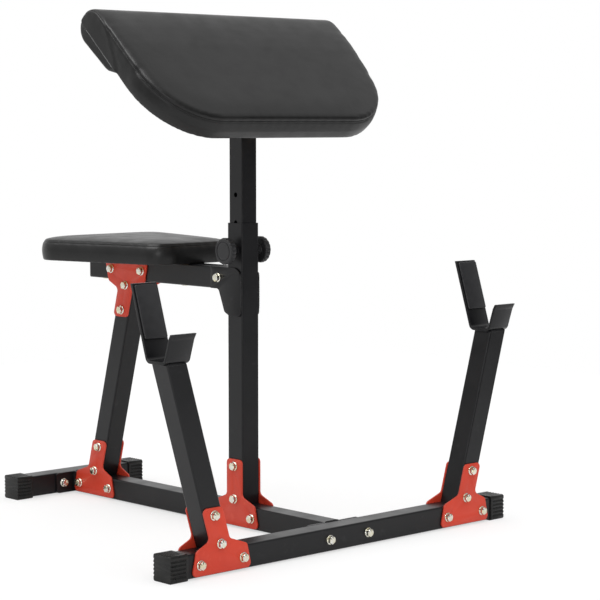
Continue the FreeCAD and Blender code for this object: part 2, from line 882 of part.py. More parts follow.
def clamp_screw_bar():
    """Clamp screw from the sliding post's side to the knob."""
    tip = slider / 2 + clamp_tip_gap
    end = half + knob_gap + knob_thick - knob_skin - pin_fit
    return Part.makeCylinder(clamp_screw / 2, end - tip, at(tip, post_y, pin_height), X)


def export(name, shapes):
    """Write one named piece, or a group of identical pieces, to its own file."""
    solids = shapes if isinstance(shapes, list) else [shapes]
    group = solids[0] if len(solids) == 1 else Part.makeCompound(solids)
    group.exportStep(os.path.join("parts", name + ".step"))


def pieces():
    """Every piece of the bench by name."""
    rise = upright_top - beam_top
    made = {
        "front_crossbar": front_crossbar(),
        "rear_foot": cross_tube(rear_width, rear_y),
        "main_beam": main_beam(),
        "left_upright": left_knee.leg(rise),
        "right_upright": right_knee.leg(rise),
        "centre_post": centre_post(),
        "inner_post": inner_post(),
        "seat_post": seat_low_knee.leg(rail_bottom - beam_top).cut(seat_top_knee.drills()),
        "seat_rail": seat_rail(),
        "seat_rail_plug": rail_plug(),
        "seat_board": seat_board(),
        "seat_cushion": seat_cushion(),
        "seat_bolts": seat_bolts(),
        "arm_pad_plate": pad_plate(),
        "arm_pad_board": pad_board(),
        "arm_pad_cushion": pad_cushion(),
        "arm_pad_bolts": pad_bolts(),
        "pin_barrel": pin_barrel(),
        "pull_pin": pull_pin(),
        "pull_pin_knob": pin_knob(),
        "pin_spring": pin_spring(),
        "clamp_nut": clamp_nut(),
        "clamp_screw": clamp_screw_bar(),
        "clamp_knob": clamp_knob(),
        "front_left_cap": end_cap(-front_width / 2, front_y),
        "front_right_cap": end_cap(front_width / 2, front_y),
        "rear_left_cap": end_cap(-rear_width / 2, rear_y),
        "rear_right_cap": end_cap(rear_width / 2, rear_y),
        "left_front_gusset": left_knee.gusset(-1),
        "left_rear_gusset": left_knee.gusset(1),
        "right_front_gusset": right_knee.gusset(1),
        "right_rear_gusset": right_knee.gusset(-1),
    }
    for name, side in (("left", -1), ("right", 1)):
        made[name + "_bar_cradle"] = bar_cradle(side)
        made[name + "_cradle_liner"] = cradle_liner(side)
        made[name + "_rail_bracket"] = rail_bracket(side)
        made["post_" + name + "_gusset"] = post_knee.gusset(-side)
        made["seat_lower_" + name + "_gusset"] = seat_low_knee.gusset(-side)
        made["seat_upper_" + name + "_gusset"] = seat_top_knee.gusset(-side)
    knees = [(left_knee, -1), (right_knee, 1), (post_knee, 1), (seat_low_knee, 1), (seat_top_knee, 1)]
    gusset_sets = [knee.fasteners(head_side) for knee, head_side in knees]
    flange_sets = [flange_fasteners(y, Y) for y in (front_y - half, rear_y - half - flange_thick)]
    rail_set = rail_fasteners()
    made["gusset_bolts"] = [item for bolts, nuts in gusset_sets for item in bolts]
    made["flange_bolts"] = [item for bolts, nuts in flange_sets for item in bolts]
    made["seat_rail_bolt"] = rail_set[0]
    made["hex_nuts"] = [item for bolts, nuts in gusset_sets + flange_sets + [rail_set] for item in nuts]
    return made


os.makedirs("parts", exist_ok=True)
for piece_name, piece_shape in pieces().items():
    export(piece_name, piece_shape)
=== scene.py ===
"""Looks of a preacher curl bench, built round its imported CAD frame.

Sizes are millimetres in the classes below and metres in Blender.  +X runs along the front crossbar, +Y
points from the crossbar to the seat, and +Z is up.
"""
import json
import logging
import math
from dataclasses import dataclass, replace
from enum import Enum
from typing import Callable, Optional, Sequence, Union

import bmesh
import bpy
import numpy as np
from bpy.types import ID, Material, Mesh, Node, NodeSocket, NodeTree, Object, World
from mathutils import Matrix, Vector
from mathutils.bvhtree import BVHTree


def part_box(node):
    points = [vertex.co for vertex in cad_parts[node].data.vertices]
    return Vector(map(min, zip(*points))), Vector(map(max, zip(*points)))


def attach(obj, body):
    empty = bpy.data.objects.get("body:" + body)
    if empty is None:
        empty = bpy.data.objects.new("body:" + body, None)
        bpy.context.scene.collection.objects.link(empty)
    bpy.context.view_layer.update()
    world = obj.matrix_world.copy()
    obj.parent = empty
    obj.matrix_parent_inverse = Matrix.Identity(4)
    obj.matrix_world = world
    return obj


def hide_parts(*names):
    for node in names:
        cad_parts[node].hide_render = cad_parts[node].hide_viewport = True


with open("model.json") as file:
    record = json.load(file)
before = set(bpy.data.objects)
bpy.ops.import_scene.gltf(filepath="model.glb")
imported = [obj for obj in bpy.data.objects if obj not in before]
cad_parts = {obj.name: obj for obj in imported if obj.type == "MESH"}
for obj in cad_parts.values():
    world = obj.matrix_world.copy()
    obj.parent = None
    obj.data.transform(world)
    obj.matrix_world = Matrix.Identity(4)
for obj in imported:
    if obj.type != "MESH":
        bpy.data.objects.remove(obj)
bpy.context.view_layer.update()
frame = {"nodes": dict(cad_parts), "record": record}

MM = 0.001
TOUCH = 0.2 * MM  # Points this near the end of a solid lie on it.
MERGE = 1e-5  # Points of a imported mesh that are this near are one, in metres.
JOIN = 1e-6  # The same for a surface that is made here.
SLIVER = 1e-7  # Edges shorter than this are dropped.
ROUNDED = 80.0  # Angle in degrees that keeps the whole of a bead or cord smooth.
WHITE = (1.0, 1.0, 1.0, 1.0)
log = logging.getLogger("bench")


class Body(str, Enum):
    """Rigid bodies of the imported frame."""

    FRAME = "frame"
    SLIDER = "arm_pad_slider"
    PIN = "height_pin"
    CLAMP = "clamp"


class Slot(str, Enum):
    """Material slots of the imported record."""

    BLACK = "black_powder_coat"
    ORANGE = "orange_powder_coat"
    ZINC = "zinc_steel"
    SPRING = "spring_steel"
    RUBBER = "cap_rubber"
    LEATHER = "pad_leather"
    PLYWOOD = "pad_plywood"
    KNOB = "knob_plastic"
    LINER = "liner_plastic"
    PLUG = "plug_plastic"


def linear(colour: str) -> tuple[float, float, float, float]:
    """Turn an sRGB hex colour to linear light.

    Args:
        colour: A hash and six hex digits.

    Returns:
        Linear red, green and blue, and an alpha of 1.
    """
    share = np.array([int(colour[i:i + 2], 16) for i in (1, 3, 5)]) / 255
    value = np.where(share <= 0.04045, share / 12.92, ((share + 0.055) / 1.055) ** 2.4)
    return (*value.tolist(), 1.0)


def per_metre(size_mm: float) -> float:
    """Texture scale that gives one feature in this many millimetres."""
    return 1 / (size_mm * MM)


@dataclass(frozen=True)
class Graph:
    """Node tree of a material or a world."""

    tree: NodeTree

    @classmethod
    def of(cls, owner: Union[Material, World]) -> "Graph":
        """Empty node tree of a material or a world.

        Args:
            owner: The material or world.

        Returns:
            The tree.
        """
        owner.use_nodes = True
        owner.node_tree.nodes.clear()
        return cls(owner.node_tree)

    def add(self, kind: str, values: dict) -> Node:
        """Add a shader node.

        Args:
            kind: Blender's name of the node type, without the words that all of them start with.
            values: Constants and sockets by property name, input name or input number.

        Returns:
            The new node.
        """
        node = self.tree.nodes.new("ShaderNode" + kind)
        for key, value in values.items():
            if isinstance(value, NodeSocket):
                self.tree.links.new(value, node.inputs[key])
            elif isinstance(key, int) or key in node.inputs:
                node.inputs[key].default_value = value
            else:
                setattr(node, key, value)
        return node

    def place(self, kind: str = "Object") -> NodeSocket:
        """Texture coordinates of one kind."""
        return self.add("TexCoord", {}).outputs[kind]

    def maths(self, operation: str, *values: Union[float, NodeSocket]) -> NodeSocket:
        """Calculate with one or two values."""
        return self.add("Math", {"operation": operation, **dict(enumerate(values))}).outputs[0]

    def along(self, place: NodeSocket, direction: Sequence[float]) -> NodeSocket:
        """Coordinate along a direction."""
        return self.add("VectorMath", {"operation": "DOT_PRODUCT", 0: place, 1: direction}).outputs["Value"]

    def cloud(self, size_mm: float, detail: float = 3.0, place: Optional[NodeSocket] = None) -> NodeSocket:
        """Soft noise of one feature size, from 0 to 1."""
        where = self.place() if place is None else place
        return self.add("TexNoise", {"Scale": per_metre(size_mm), "Detail": detail, "Vector": where}).outputs[0]

    def span(self, value: NodeSocket, source: tuple[float, float],
             target: tuple[float, float] = (0.0, 1.0)) -> NodeSocket:
        """Carry a value from one range to another, clamped."""
        return self.add("MapRange", {"Value": value, "From Min": source[0], "From Max": source[1],
                                     "To Min": target[0], "To Max": target[1]}).outputs[0]

    def blend(self, share: NodeSocket, *colours: Union[str, NodeSocket]) -> NodeSocket:
        """Mix two colours, each a hex string or a socket, by a share."""
        first, second = (linear(colour) if isinstance(colour, str) else colour for colour in colours)
        return self.add("Mix", {"data_type": "RGBA", 0: share, 6: first, 7: second}).outputs[2]

    def mixed(self, share: NodeSocket, first: Node, second: Node) -> NodeSocket:
        """Mix two shaders by a share."""
        return self.add("MixShader", {0: share, 1: first.outputs[0], 2: second.outputs[0]}).outputs[0]


@dataclass(frozen=True)
class Finish:
    """A real material, and how its surface was made."""

    name: str
    colour: str
    second: str
    patch_mm: float
    grain_mm: float
    grain_depth_mm: float
    roughness: tuple[float, float]
    metallic: float = 0.0
    specular: float = 0.5

    def material(self) -> Material:
        """Make the material, or find it where it is made already.

        Returns:
            The material.
        """
        made = bpy.data.materials.get(self.name)
        if made is not None:
            return made
        made = bpy.data.materials.new(self.name)
        graph = Graph.of(made)
        bump = graph.add("Bump", {"Strength": 1.0, "Distance": self.grain_depth_mm * MM, "Height": self.relief(graph)})
        shader = graph.add("BsdfPrincipled", {
            "Base Color": self.tint(graph), "Roughness": self.gloss(graph), "Metallic": self.metallic,
            "Specular IOR Level": self.specular, "Normal": bump.outputs["Normal"]})
        graph.add("OutputMaterial", {"Surface": shader.outputs["BSDF"]})
        return made

    def tint(self, graph: Graph) -> NodeSocket:
        """Base colour that drifts in soft patches towards the second colour."""
        return graph.blend(graph.span(graph.cloud(self.patch_mm), (0.35, 0.7)), self.colour, self.second)

    def gloss(self, graph: Graph) -> NodeSocket:
        """Roughness that varies where the surface was handled."""
        return graph.span(graph.cloud(self.patch_mm / 2, 4.0), (0.3, 0.7), self.roughness)

    def relief(self, graph: Graph) -> NodeSocket:
        """Height of the fine grain."""
        return graph.cloud(self.grain_mm)


@dataclass(frozen=True)
class PowderCoat(Finish):
    """Polyester powder baked on steel: a fine orange peel, rubbed paler in places by use."""

    rub: str = "#2c2c2e"
    rub_mm: float = 14.0

    def tint(self, graph: Graph) -> NodeSocket:
        """Patchy coat with faint rubbed flecks."""
        flecks = graph.span(graph.cloud(self.rub_mm, 9.0), (0.62, 0.78), (0.0, 0.35))
        return graph.blend(flecks, super().tint(graph), self.rub)


@dataclass(frozen=True)
class Leather(Finish):
    """Calendered synthetic leather: small rounded pebbles and shallow creases.

    The pebbles are drawn about twice as coarse as the real ones, so that they show.
    """

    crease_mm: float = 16.0

    def relief(self, graph: Graph) -> NodeSocket:
        """Pebbles from cell distances, with creases added.

        Args:
            graph: Node tree of the material.

        Returns:
            The height.
        """
        cells = graph.add("TexVoronoi", {"feature": "SMOOTH_F1", "Scale": per_metre(self.grain_mm),
                                         "Vector": graph.place()})
        pebbles = graph.span(cells.outputs["Distance"], (0.0, 0.8), (1.0, 0.0))
        return graph.maths("ADD", pebbles, graph.cloud(self.crease_mm, 2.0))


@dataclass(frozen=True)
class Plywood(Finish):
    """Rotary-cut plywood: thin plies that alternate, with a long soft grain."""

    ply_mm: float = 1.5
    streak_mm: float = 6.0
    streak_scale: tuple[float, float, float] = (0.12, 1.0, 1.0)
    normal: tuple[float, float, float] = (0.0, 0.0, 1.0)

    def tint(self, graph: Graph) -> NodeSocket:
        """Plies alternate along the board's normal, over a streaked grain.

        Args:
            graph: Node tree of the material.

        Returns:
            The colour.
        """
        turns = graph.maths("MULTIPLY", graph.along(graph.place(), self.normal), math.pi * per_metre(self.ply_mm))
        plies = graph.span(graph.maths("SINE", turns), (-0.4, 0.4), (0.0, 0.6))
        drawn = graph.add("Mapping", {"Scale": self.streak_scale, "Vector": graph.place()}).outputs[0]
        streaks = graph.span(graph.cloud(self.streak_mm, 5.0, drawn), (0.35, 0.65), (0.0, 0.5))
        return graph.blend(plies, graph.blend(streaks, self.colour, self.second), self.second)


FINISHES: dict[Slot, Finish] = {
    # Baked powder: a deep even black, with a soft sheen at a low angle and a faint orange peel close up.
    Slot.BLACK: PowderCoat("satin_black_powder_coat", "#0e0e10", "#131315", 90.0, 1.8, 0.05, (0.3, 0.4),
                           specular=0.28),
    # The same coat with pigment: the one warm colour, with faint paler flecks in places.
    Slot.ORANGE: PowderCoat("satin_orange_powder_coat", "#c63c26", "#bd3621", 60.0, 1.8, 0.05, (0.36, 0.48),
                            specular=0.35, rub="#d2553f"),
    # Plated fasteners: bright points with a slight yellow cast from the passivation.
    Slot.ZINC: Finish("bright_zinc_plate", "#dcdcd8", "#d5cda8", 9.0, 0.8, 0.02, (0.14, 0.28), metallic=1.0),
    # Cold-drawn wire: grey steel with a dull shine along the coil.
    Slot.SPRING: Finish("drawn_spring_wire", "#8d8f93", "#7b7d80", 6.0, 0.5, 0.01, (0.3, 0.4), metallic=1.0),
    # Moulded feet: greyer than the coat, and pale on top, where the light grazes them.
    Slot.RUBBER: Finish("moulded_black_rubber", "#161616", "#1e1e1d", 18.0, 0.9, 0.015, (0.26, 0.36),
                        specular=0.22),
    # Embossed vinyl over foam: a fine pebble that breaks up the sheen, and a pale glow at a low angle.
    Slot.LEATHER: Leather("black_synthetic_leather", "#101010", "#151515", 70.0, 1.6, 0.12, (0.32, 0.44),
                          specular=0.33),
    # Raw boards: warm wood with plies on the edge, seen from behind only.
    Slot.PLYWOOD: Plywood("raw_plywood", "#c7a477", "#a47d50", 40.0, 1.2, 0.08, (0.6, 0.75)),
    # Moulded grips: a little paler and duller than the coat beside them.
    Slot.KNOB: Finish("moulded_black_nylon", "#1b1b1d", "#222224", 22.0, 0.7, 0.05, (0.4, 0.52), specular=0.4),
    # Sawn wear strip: a grey black whose chamfered edges catch the light.
    Slot.LINER: Finish("black_nylon_strip", "#1c1c1e", "#232325", 14.0, 0.9, 0.05, (0.4, 0.52), specular=0.4),
    # Soft plug: waxy and even.
    Slot.PLUG: Finish("moulded_black_polyethylene", "#1d1d1e", "#252525", 20.0, 0.9, 0.06, (0.5, 0.65),
                      specular=0.4),
}
SLOPING_BOARD = replace(FINISHES[Slot.PLYWOOD], name="raw_plywood_on_the_slope",
                        normal=(0.0, -math.sqrt(0.5), math.sqrt(0.5)))
SLOTS: dict[str, Slot] = {row["node"]: Slot(row["material_slot"]) for row in frame["record"]["subparts"]}


def finish_piece(piece: Object, slot: Slot, body: Body, replaces: Sequence[str] = ()) -> Object:
    """Dress a new piece and set it on its body.

    Args:
        piece: Mesh object at the origin.
        slot: Record slot whose finish it takes.
        body: Rigid body that it rides on.
        replaces: CAD nodes that it stands for.

    Returns:
        The piece.
    """
    piece.data.materials.clear()
    piece.data.materials.append(FINISHES[slot].material())
    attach(piece, body.value)
    if replaces:
        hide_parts(*replaces)
    log.info("piece %s on %s, %d faces", piece.name, body.value, len(piece.data.polygons))
    return piece


def new_object(name: str, data: ID) -> Object:
    """Link a mesh, a lamp or a camera into the scene as an object at the origin.

    Args:
        name: Name of the object.
        data: Its mesh, lamp or camera.

    Returns:
        The object.
    """
    made = bpy.data.objects.new(name, data)
    bpy.context.scene.collection.objects.link(made)
    return made


@dataclass
class Surface:
    """Points in metres and quads of one or more closed shells."""

    points: np.ndarray
    quads: np.ndarray

    @classmethod
    def from_grid(cls, grid: np.ndarray, wrap_rows: bool = False) -> "Surface":
        """Surface of a grid whose columns close on themselves.

        Args:
            grid: Points by row and column.
            wrap_rows: Whether the last row joins the first.

        Returns:
            The surface, with rows that shrink to a point left as doubles.
        """
        rows, columns = grid.shape[:2]
        r = np.arange(rows if wrap_rows else rows - 1)[:, None]
        c = np.arange(columns)[None, :]
        s = (r + 1) % rows
        d = (c + 1) % columns
        quads = np.stack([r * columns + c, r * columns + d, s * columns + d, s * columns + c], axis=-1)
        return cls(grid.reshape(-1, 3), quads.reshape(-1, 4))

    @classmethod
    def joined(cls, parts: list["Surface"]) -> "Surface":
        """One surface of several shells.

        Args:
            parts: The shells.

        Returns:
            The surface.
        """
        starts = np.cumsum([0] + [len(part.points) for part in parts[:-1]])
        quads = [part.quads + start for part, start in zip(parts, starts)]
        return cls(np.concatenate([part.points for part in parts]), np.concatenate(quads))

    def stamped(self, places: list["Place"]) -> "Surface":
        """Copies of a shell whose local z axis runs along each place's direction.

        Args:
            places: Where the copies go.

        Returns:
            One surface of all the copies.
        """
        bases = np.stack([place.basis for place in places])
        origins = np.stack([place.origin for place in places])
        points = np.einsum("ni,pij->pnj", self.points, bases) + origins[:, None]
        steps = np.arange(len(places))[:, None, None] * len(self.points)
        return Surface(points.reshape(-1, 3), (self.quads[None] + steps).reshape(-1, 4))

    def object(self, name: str, sharp: float = 40.0) -> Object:
        """Mesh object of the surface, with doubles merged and faces outwards.

        Args:
            name: Name of the object.
            sharp: Angle in degrees above which an edge stays crisp.

        Returns:
            The object.
        """
        mesh = bpy.data.meshes.new(name)
        mesh.from_pydata(self.points.tolist(), [], self.quads.tolist())
        shell = bmesh.new()
        shell.from_mesh(mesh)
        bmesh.ops.remove_doubles(shell, verts=shell.verts, dist=JOIN)
        bmesh.ops.dissolve_degenerate(shell, edges=shell.edges, dist=SLIVER)
        bmesh.ops.recalc_face_normals(shell, faces=shell.faces)
        shell.to_mesh(mesh)
        shell.free()
        mesh.shade_smooth()
        mesh.set_sharp_from_angle(angle=math.radians(sharp))
        return new_object(name, mesh)


@dataclass
class Place:
    """Where a turned piece starts, and its axes as rows: two across and one along."""

    origin: np.ndarray
    basis: np.ndarray
    length: float


def turned(heights: np.ndarray, radii: np.ndarray, wrap_rows: bool = False) -> Surface:
    """Surface about local z with one row for each height.

    A point at row k and angle a is (r cos a, r sin a, z), where r may vary with the angle.

    Args:
        heights: Height of each row, in millimetres, as a column or a full grid.
        radii: Radius by row and angle, in millimetres.
        wrap_rows: Whether the last row joins the first, as on a ring.

    Returns:
        The surface in metres.
    """
    angle = np.linspace(0, 2 * np.pi, radii.shape[1], endpoint=False)
    level = np.broadcast_to(heights, radii.shape)
    grid = np.stack([radii * np.cos(angle), radii * np.sin(angle), level], axis=-1)
    return Surface.from_grid(grid * MM, wrap_rows)


def node_arrays(name: str) -> tuple[np.ndarray, np.ndarray]:
    """Points and triangles of a CAD node.

    Args:
        name: Name of the node.

    Returns:
        Points in metres, and triangles as rows of three point numbers.
    """
    mesh = frame["nodes"][name].data
    points = np.empty(len(mesh.vertices) * 3)
    mesh.vertices.foreach_get("co", points)
    mesh.calc_loop_triangles()
    triangles = np.empty(len(mesh.loop_triangles) * 3, dtype=np.int64)
    mesh.loop_triangles.foreach_get("vertices", triangles)
    return points.reshape(-1, 3), triangles.reshape(-1, 3)


def box_corners(name: str) -> tuple[np.ndarray, np.ndarray]:
    """Low and high corner of a CAD node's box, in metres."""
    low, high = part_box(name)
    return np.array(low), np.array(high)


def node_copy(name: str, copy_name: str, flatten: bool = False) -> Object:
    """Object with the mesh of a CAD node, whose doubles are merged.

    Args:
        name: Name of the CAD node.
        copy_name: Name of the new object.
        flatten: Whether the triangles of each flat face become one face.

    Returns:
        The object.
    """
    mesh = bpy.data.meshes.new(copy_name)
    shell = bmesh.new()
    shell.from_mesh(frame["nodes"][name].data)
    bmesh.ops.remove_doubles(shell, verts=shell.verts, dist=MERGE)
    if flatten:
        bmesh.ops.dissolve_limit(shell, angle_limit=math.radians(1), verts=shell.verts, edges=shell.edges)
    shell.to_mesh(mesh)
    shell.free()
    return new_object(copy_name, mesh)


def islands(name: str) -> list[np.ndarray]:
    """Split a node of separate solids into the points of each solid.

    Every point takes the lowest number among its triangles' points until nothing changes.

    Args:
        name: Name of the CAD node.

    Returns:
        One array of points for each solid.
    """
    points, triangles = node_arrays(name)
    same = np.unique(np.round(points, 6), axis=0, return_inverse=True)[1].ravel()
    corners = same[triangles]
    label = np.arange(same.max() + 1)
    settled = False
    while not settled:
        lowest = label.copy()
        np.minimum.at(lowest, corners.ravel(), np.repeat(label[corners].min(axis=1), 3))
        lowest = lowest[lowest]
        settled = bool((lowest == label).all())
        label = lowest
    return [points[label[same] == number] for number in np.unique(label)]


def turned_places(name: str, along: Optional[np.ndarray] = None, flat: bool = False) -> list[Place]:
    """Places of a node's turned solids, each starting from its wider end and turned by its own angle.

    Args:
        name: Name of the CAD node.
        along: Direction of all the axes, or None where each lies along a row axis.
        flat: Whether a solid's axis is its shortest row axis, as on a nut, and not its longest.

    Returns:
        One place for each solid.
    """
    found = []
    for number, points in enumerate(islands(name)):
        extent = np.ptp(points, axis=0)
        axis = np.eye(3)[np.argmin(extent) if flat else np.argmax(extent)] if along is None else along
        side = np.cross(axis, (0.0, 0.0, 1.0) if abs(axis[2]) < 0.5 else (1.0, 0.0, 0.0))
        side /= np.linalg.norm(side)
        height = points @ axis
        middle = (points.min(axis=0) + points.max(axis=0)) / 2
        if along is not None:
            tip = np.abs(height - height.max()) < TOUCH
            middle = points[tip].mean(axis=0)
        across = points - middle - np.outer((points - middle) @ axis, axis)
        reach = np.linalg.norm(across, axis=1)
        low = reach[height < height.min() + TOUCH].max()
        high = reach[height > height.max() - TOUCH].max()
        forward = axis if low > high else -axis
        start = height.min() if low > high else height.max()
        origin = middle + axis * (start - middle @ axis)
        side = math.cos(number) * side + math.sin(number) * np.cross(forward, side)
        basis = np.stack([side, np.cross(forward, side), forward])
        found.append(Place(origin, basis, float(np.ptp(height))))
    return found


def hexagon(flats: float, columns: int) -> np.ndarray:
    """Radius of a hexagon at each angle: half its width over the cosine of the angle to the nearest flat."""
    angle = np.linspace(0, 2 * np.pi, columns, endpoint=False)
    return flats / 2 / np.cos((angle + np.pi / 6) % (np.pi / 3) - np.pi / 6)


@dataclass
class Fasteners:
    """Zinc-plated flange bolts and nuts, and the button-headed bolts of the two pads."""

    flats: float = 13.0
    head: float = 5.4
    flange: float = 17.0
    flange_thick: float = 1.6
    shank: float = 8.0
    bore: float = 8.1
    pitch: float = 1.25
    thread_depth: float = 0.45
    thread_length: float = 3.6
    thread_rows: int = 6
    tip_chamfer: float = 0.8
    chamfer_share: float = 0.465
    corner_share: float = 0.975
    nut_height: float = 6.6
    button: float = 15.0
    button_height: float = 3.0
    socket_flats: float = 5.0
    socket_depth: float = 2.0
    columns: int = 36

    def rows(self, profile: list[tuple[float, float, bool]], flats: float) -> tuple[np.ndarray, np.ndarray]:
        """Heights and radii of a profile, whose rows say whether they keep inside a hexagon.

        Args:
            profile: Rows of height, radius and whether the row keeps inside the hexagon.
            flats: Width of the hexagon across its flats.

        Returns:
            Heights as a column, and radii by row and angle.
        """
        table = np.array(profile, dtype=float)
        hexed = np.minimum(table[:, 1:2], hexagon(flats, self.columns)[None])
        return table[:, :1], np.where(table[:, 2:] > 0, hexed, table[:, 1:2])

    def thread(self, end: float) -> tuple[np.ndarray, np.ndarray]:
        """Helical thread up to an end: the radius dips once in each pitch, later at each angle.

        Args:
            end: Height of the bolt's end.

        Returns:
            Heights as a column, and radii by row and angle.
        """
        steps = int(self.thread_length / self.pitch * self.thread_rows)
        height = np.linspace(end - self.thread_length, end - self.pitch / 2, steps)[:, None]
        angle = np.linspace(0, 2 * np.pi, self.columns, endpoint=False)[None]
        wave = 0.5 - 0.5 * np.cos(2 * np.pi * height / self.pitch - angle)
        return height, self.shank / 2 - self.thread_depth * wave

    def tipped(self, heights: np.ndarray, radii: np.ndarray, length: float) -> Surface:
        """Close a bolt with its thread and its chamfered tip.

        Args:
            heights: Height of each row of the head.
            radii: Radius by row and angle of the head.
            length: Length of the bolt.

        Returns:
            The closed bolt.
        """
        thread_height, thread_radius = self.thread(length)
        tip = np.array([[length, self.shank / 2 - self.tip_chamfer], [length, 0.0]])
        ends = np.repeat(tip[:, 1:], self.columns, axis=1)
        return turned(np.concatenate([heights, thread_height, tip[:, :1]]),
                      np.concatenate([radii, thread_radius, ends]))

    def bolt(self, length: float) -> Surface:
        """Hexagon bolt with a chamfered head and a dished flange.

        Args:
            length: Length of the bolt with its head.

        Returns:
            The bolt.
        """
        seat = self.head + self.flange_thick
        edge = self.flange / 2
        corner = self.flats / math.sqrt(3)
        profile = [(0, 0, False), (0, self.flats * self.chamfer_share, False), (0.7, corner * self.corner_share, True),
                   (self.head - 0.4, corner, True), (self.head, corner + 0.1, False),
                   (self.head + 0.35, edge - 0.3, False), (self.head + 0.8, edge, False),
                   (seat - 0.1, edge, False), (seat, edge - 0.15, False), (seat, self.shank / 2, False)]
        return self.tipped(*self.rows(profile, self.flats), length)

    def nut(self) -> Surface:
        """Flange nut: a ring whose outside is round at its seat and hexagonal above.

        Returns:
            The nut.
        """
        edge = self.flange / 2
        corner = self.flats / math.sqrt(3)
        top = self.flange_thick + self.nut_height
        bore = self.bore / 2
        profile = [(0, bore, False), (0, edge - 0.15, False), (0.1, edge, False), (0.7, edge, False),
                   (1.1, edge - 0.3, False), (self.flange_thick, corner + 0.1, False),
                   (self.flange_thick + 0.4, corner, True), (top - 0.8, corner * self.corner_share, True),
                   (top, self.flats * self.chamfer_share, False), (top, bore + 0.5, False), (top - 0.5, bore, False)]
        return turned(*self.rows(profile, self.flats), wrap_rows=True)

    def button_bolt(self, length: float) -> Surface:
        """Button-headed bolt with a hexagon socket.

        Args:
            length: Length of the bolt with its head.

        Returns:
            The bolt.
        """
        edge = self.button / 2
        corner = self.socket_flats / math.sqrt(3)
        profile = [(self.socket_depth, 0, False), (self.socket_depth, corner, True), (0.15, corner, True),
                   (0, corner + 0.2, False), (0.1, edge * 0.55, False), (0.6, edge * 0.8, False),
                   (1.5, edge * 0.96, False), (self.button_height - 0.4, edge, False),
                   (self.button_height, edge - 0.2, False), (self.button_height, self.shank / 2, False)]
        return self.tipped(*self.rows(profile, self.socket_flats), length)

    def stamp(self, name: str, shape: Callable[[float], Surface], places: list[Place],
              body: Body = Body.FRAME) -> None:
        """Stamp the bolts of one node, each as long as the first of its solids.

        Args:
            name: Name of the CAD node.
            shape: What makes a bolt of a length in millimetres.
            places: Where the bolts are.
            body: Rigid body that they ride on.
        """
        shell = shape(places[0].length / MM).stamped(places)
        finish_piece(shell.object("zinc_" + name), Slot.ZINC, body, [name])

    def build(self, pad: "PadFrame") -> None:
        """Stamp every fastener where the frame has it.

        Args:
            pad: Frame of the arm pad, whose bolts stand square to it.
        """
        for name in ("gusset_bolts", "flange_bolts", "seat_rail_bolt"):
            self.stamp(name, self.bolt, turned_places(name))
        nuts = self.nut().stamped(turned_places("hex_nuts", flat=True))
        finish_piece(nuts.object("zinc_nuts"), Slot.ZINC, Body.FRAME, ["hex_nuts"])
        self.stamp("seat_bolts", self.button_bolt, turned_places("seat_bolts"))
        self.stamp("arm_pad_bolts", self.button_bolt, turned_places("arm_pad_bolts", pad.axes[2]), Body.SLIDER)


@dataclass
class PadFrame:
    """Sloping frame of the arm pad: across, up the slope and off the face."""

    slope: float = 45.0

    @property
    def axes(self) -> np.ndarray:
        """The three directions as rows.

        Returns:
            Unit vectors across, up and off.
        """
        angle = math.radians(self.slope)
        up = (0.0, math.cos(angle), math.sin(angle))
        off = (0.0, -math.sin(angle), math.cos(angle))
        return np.array([(1.0, 0.0, 0.0), up, off])


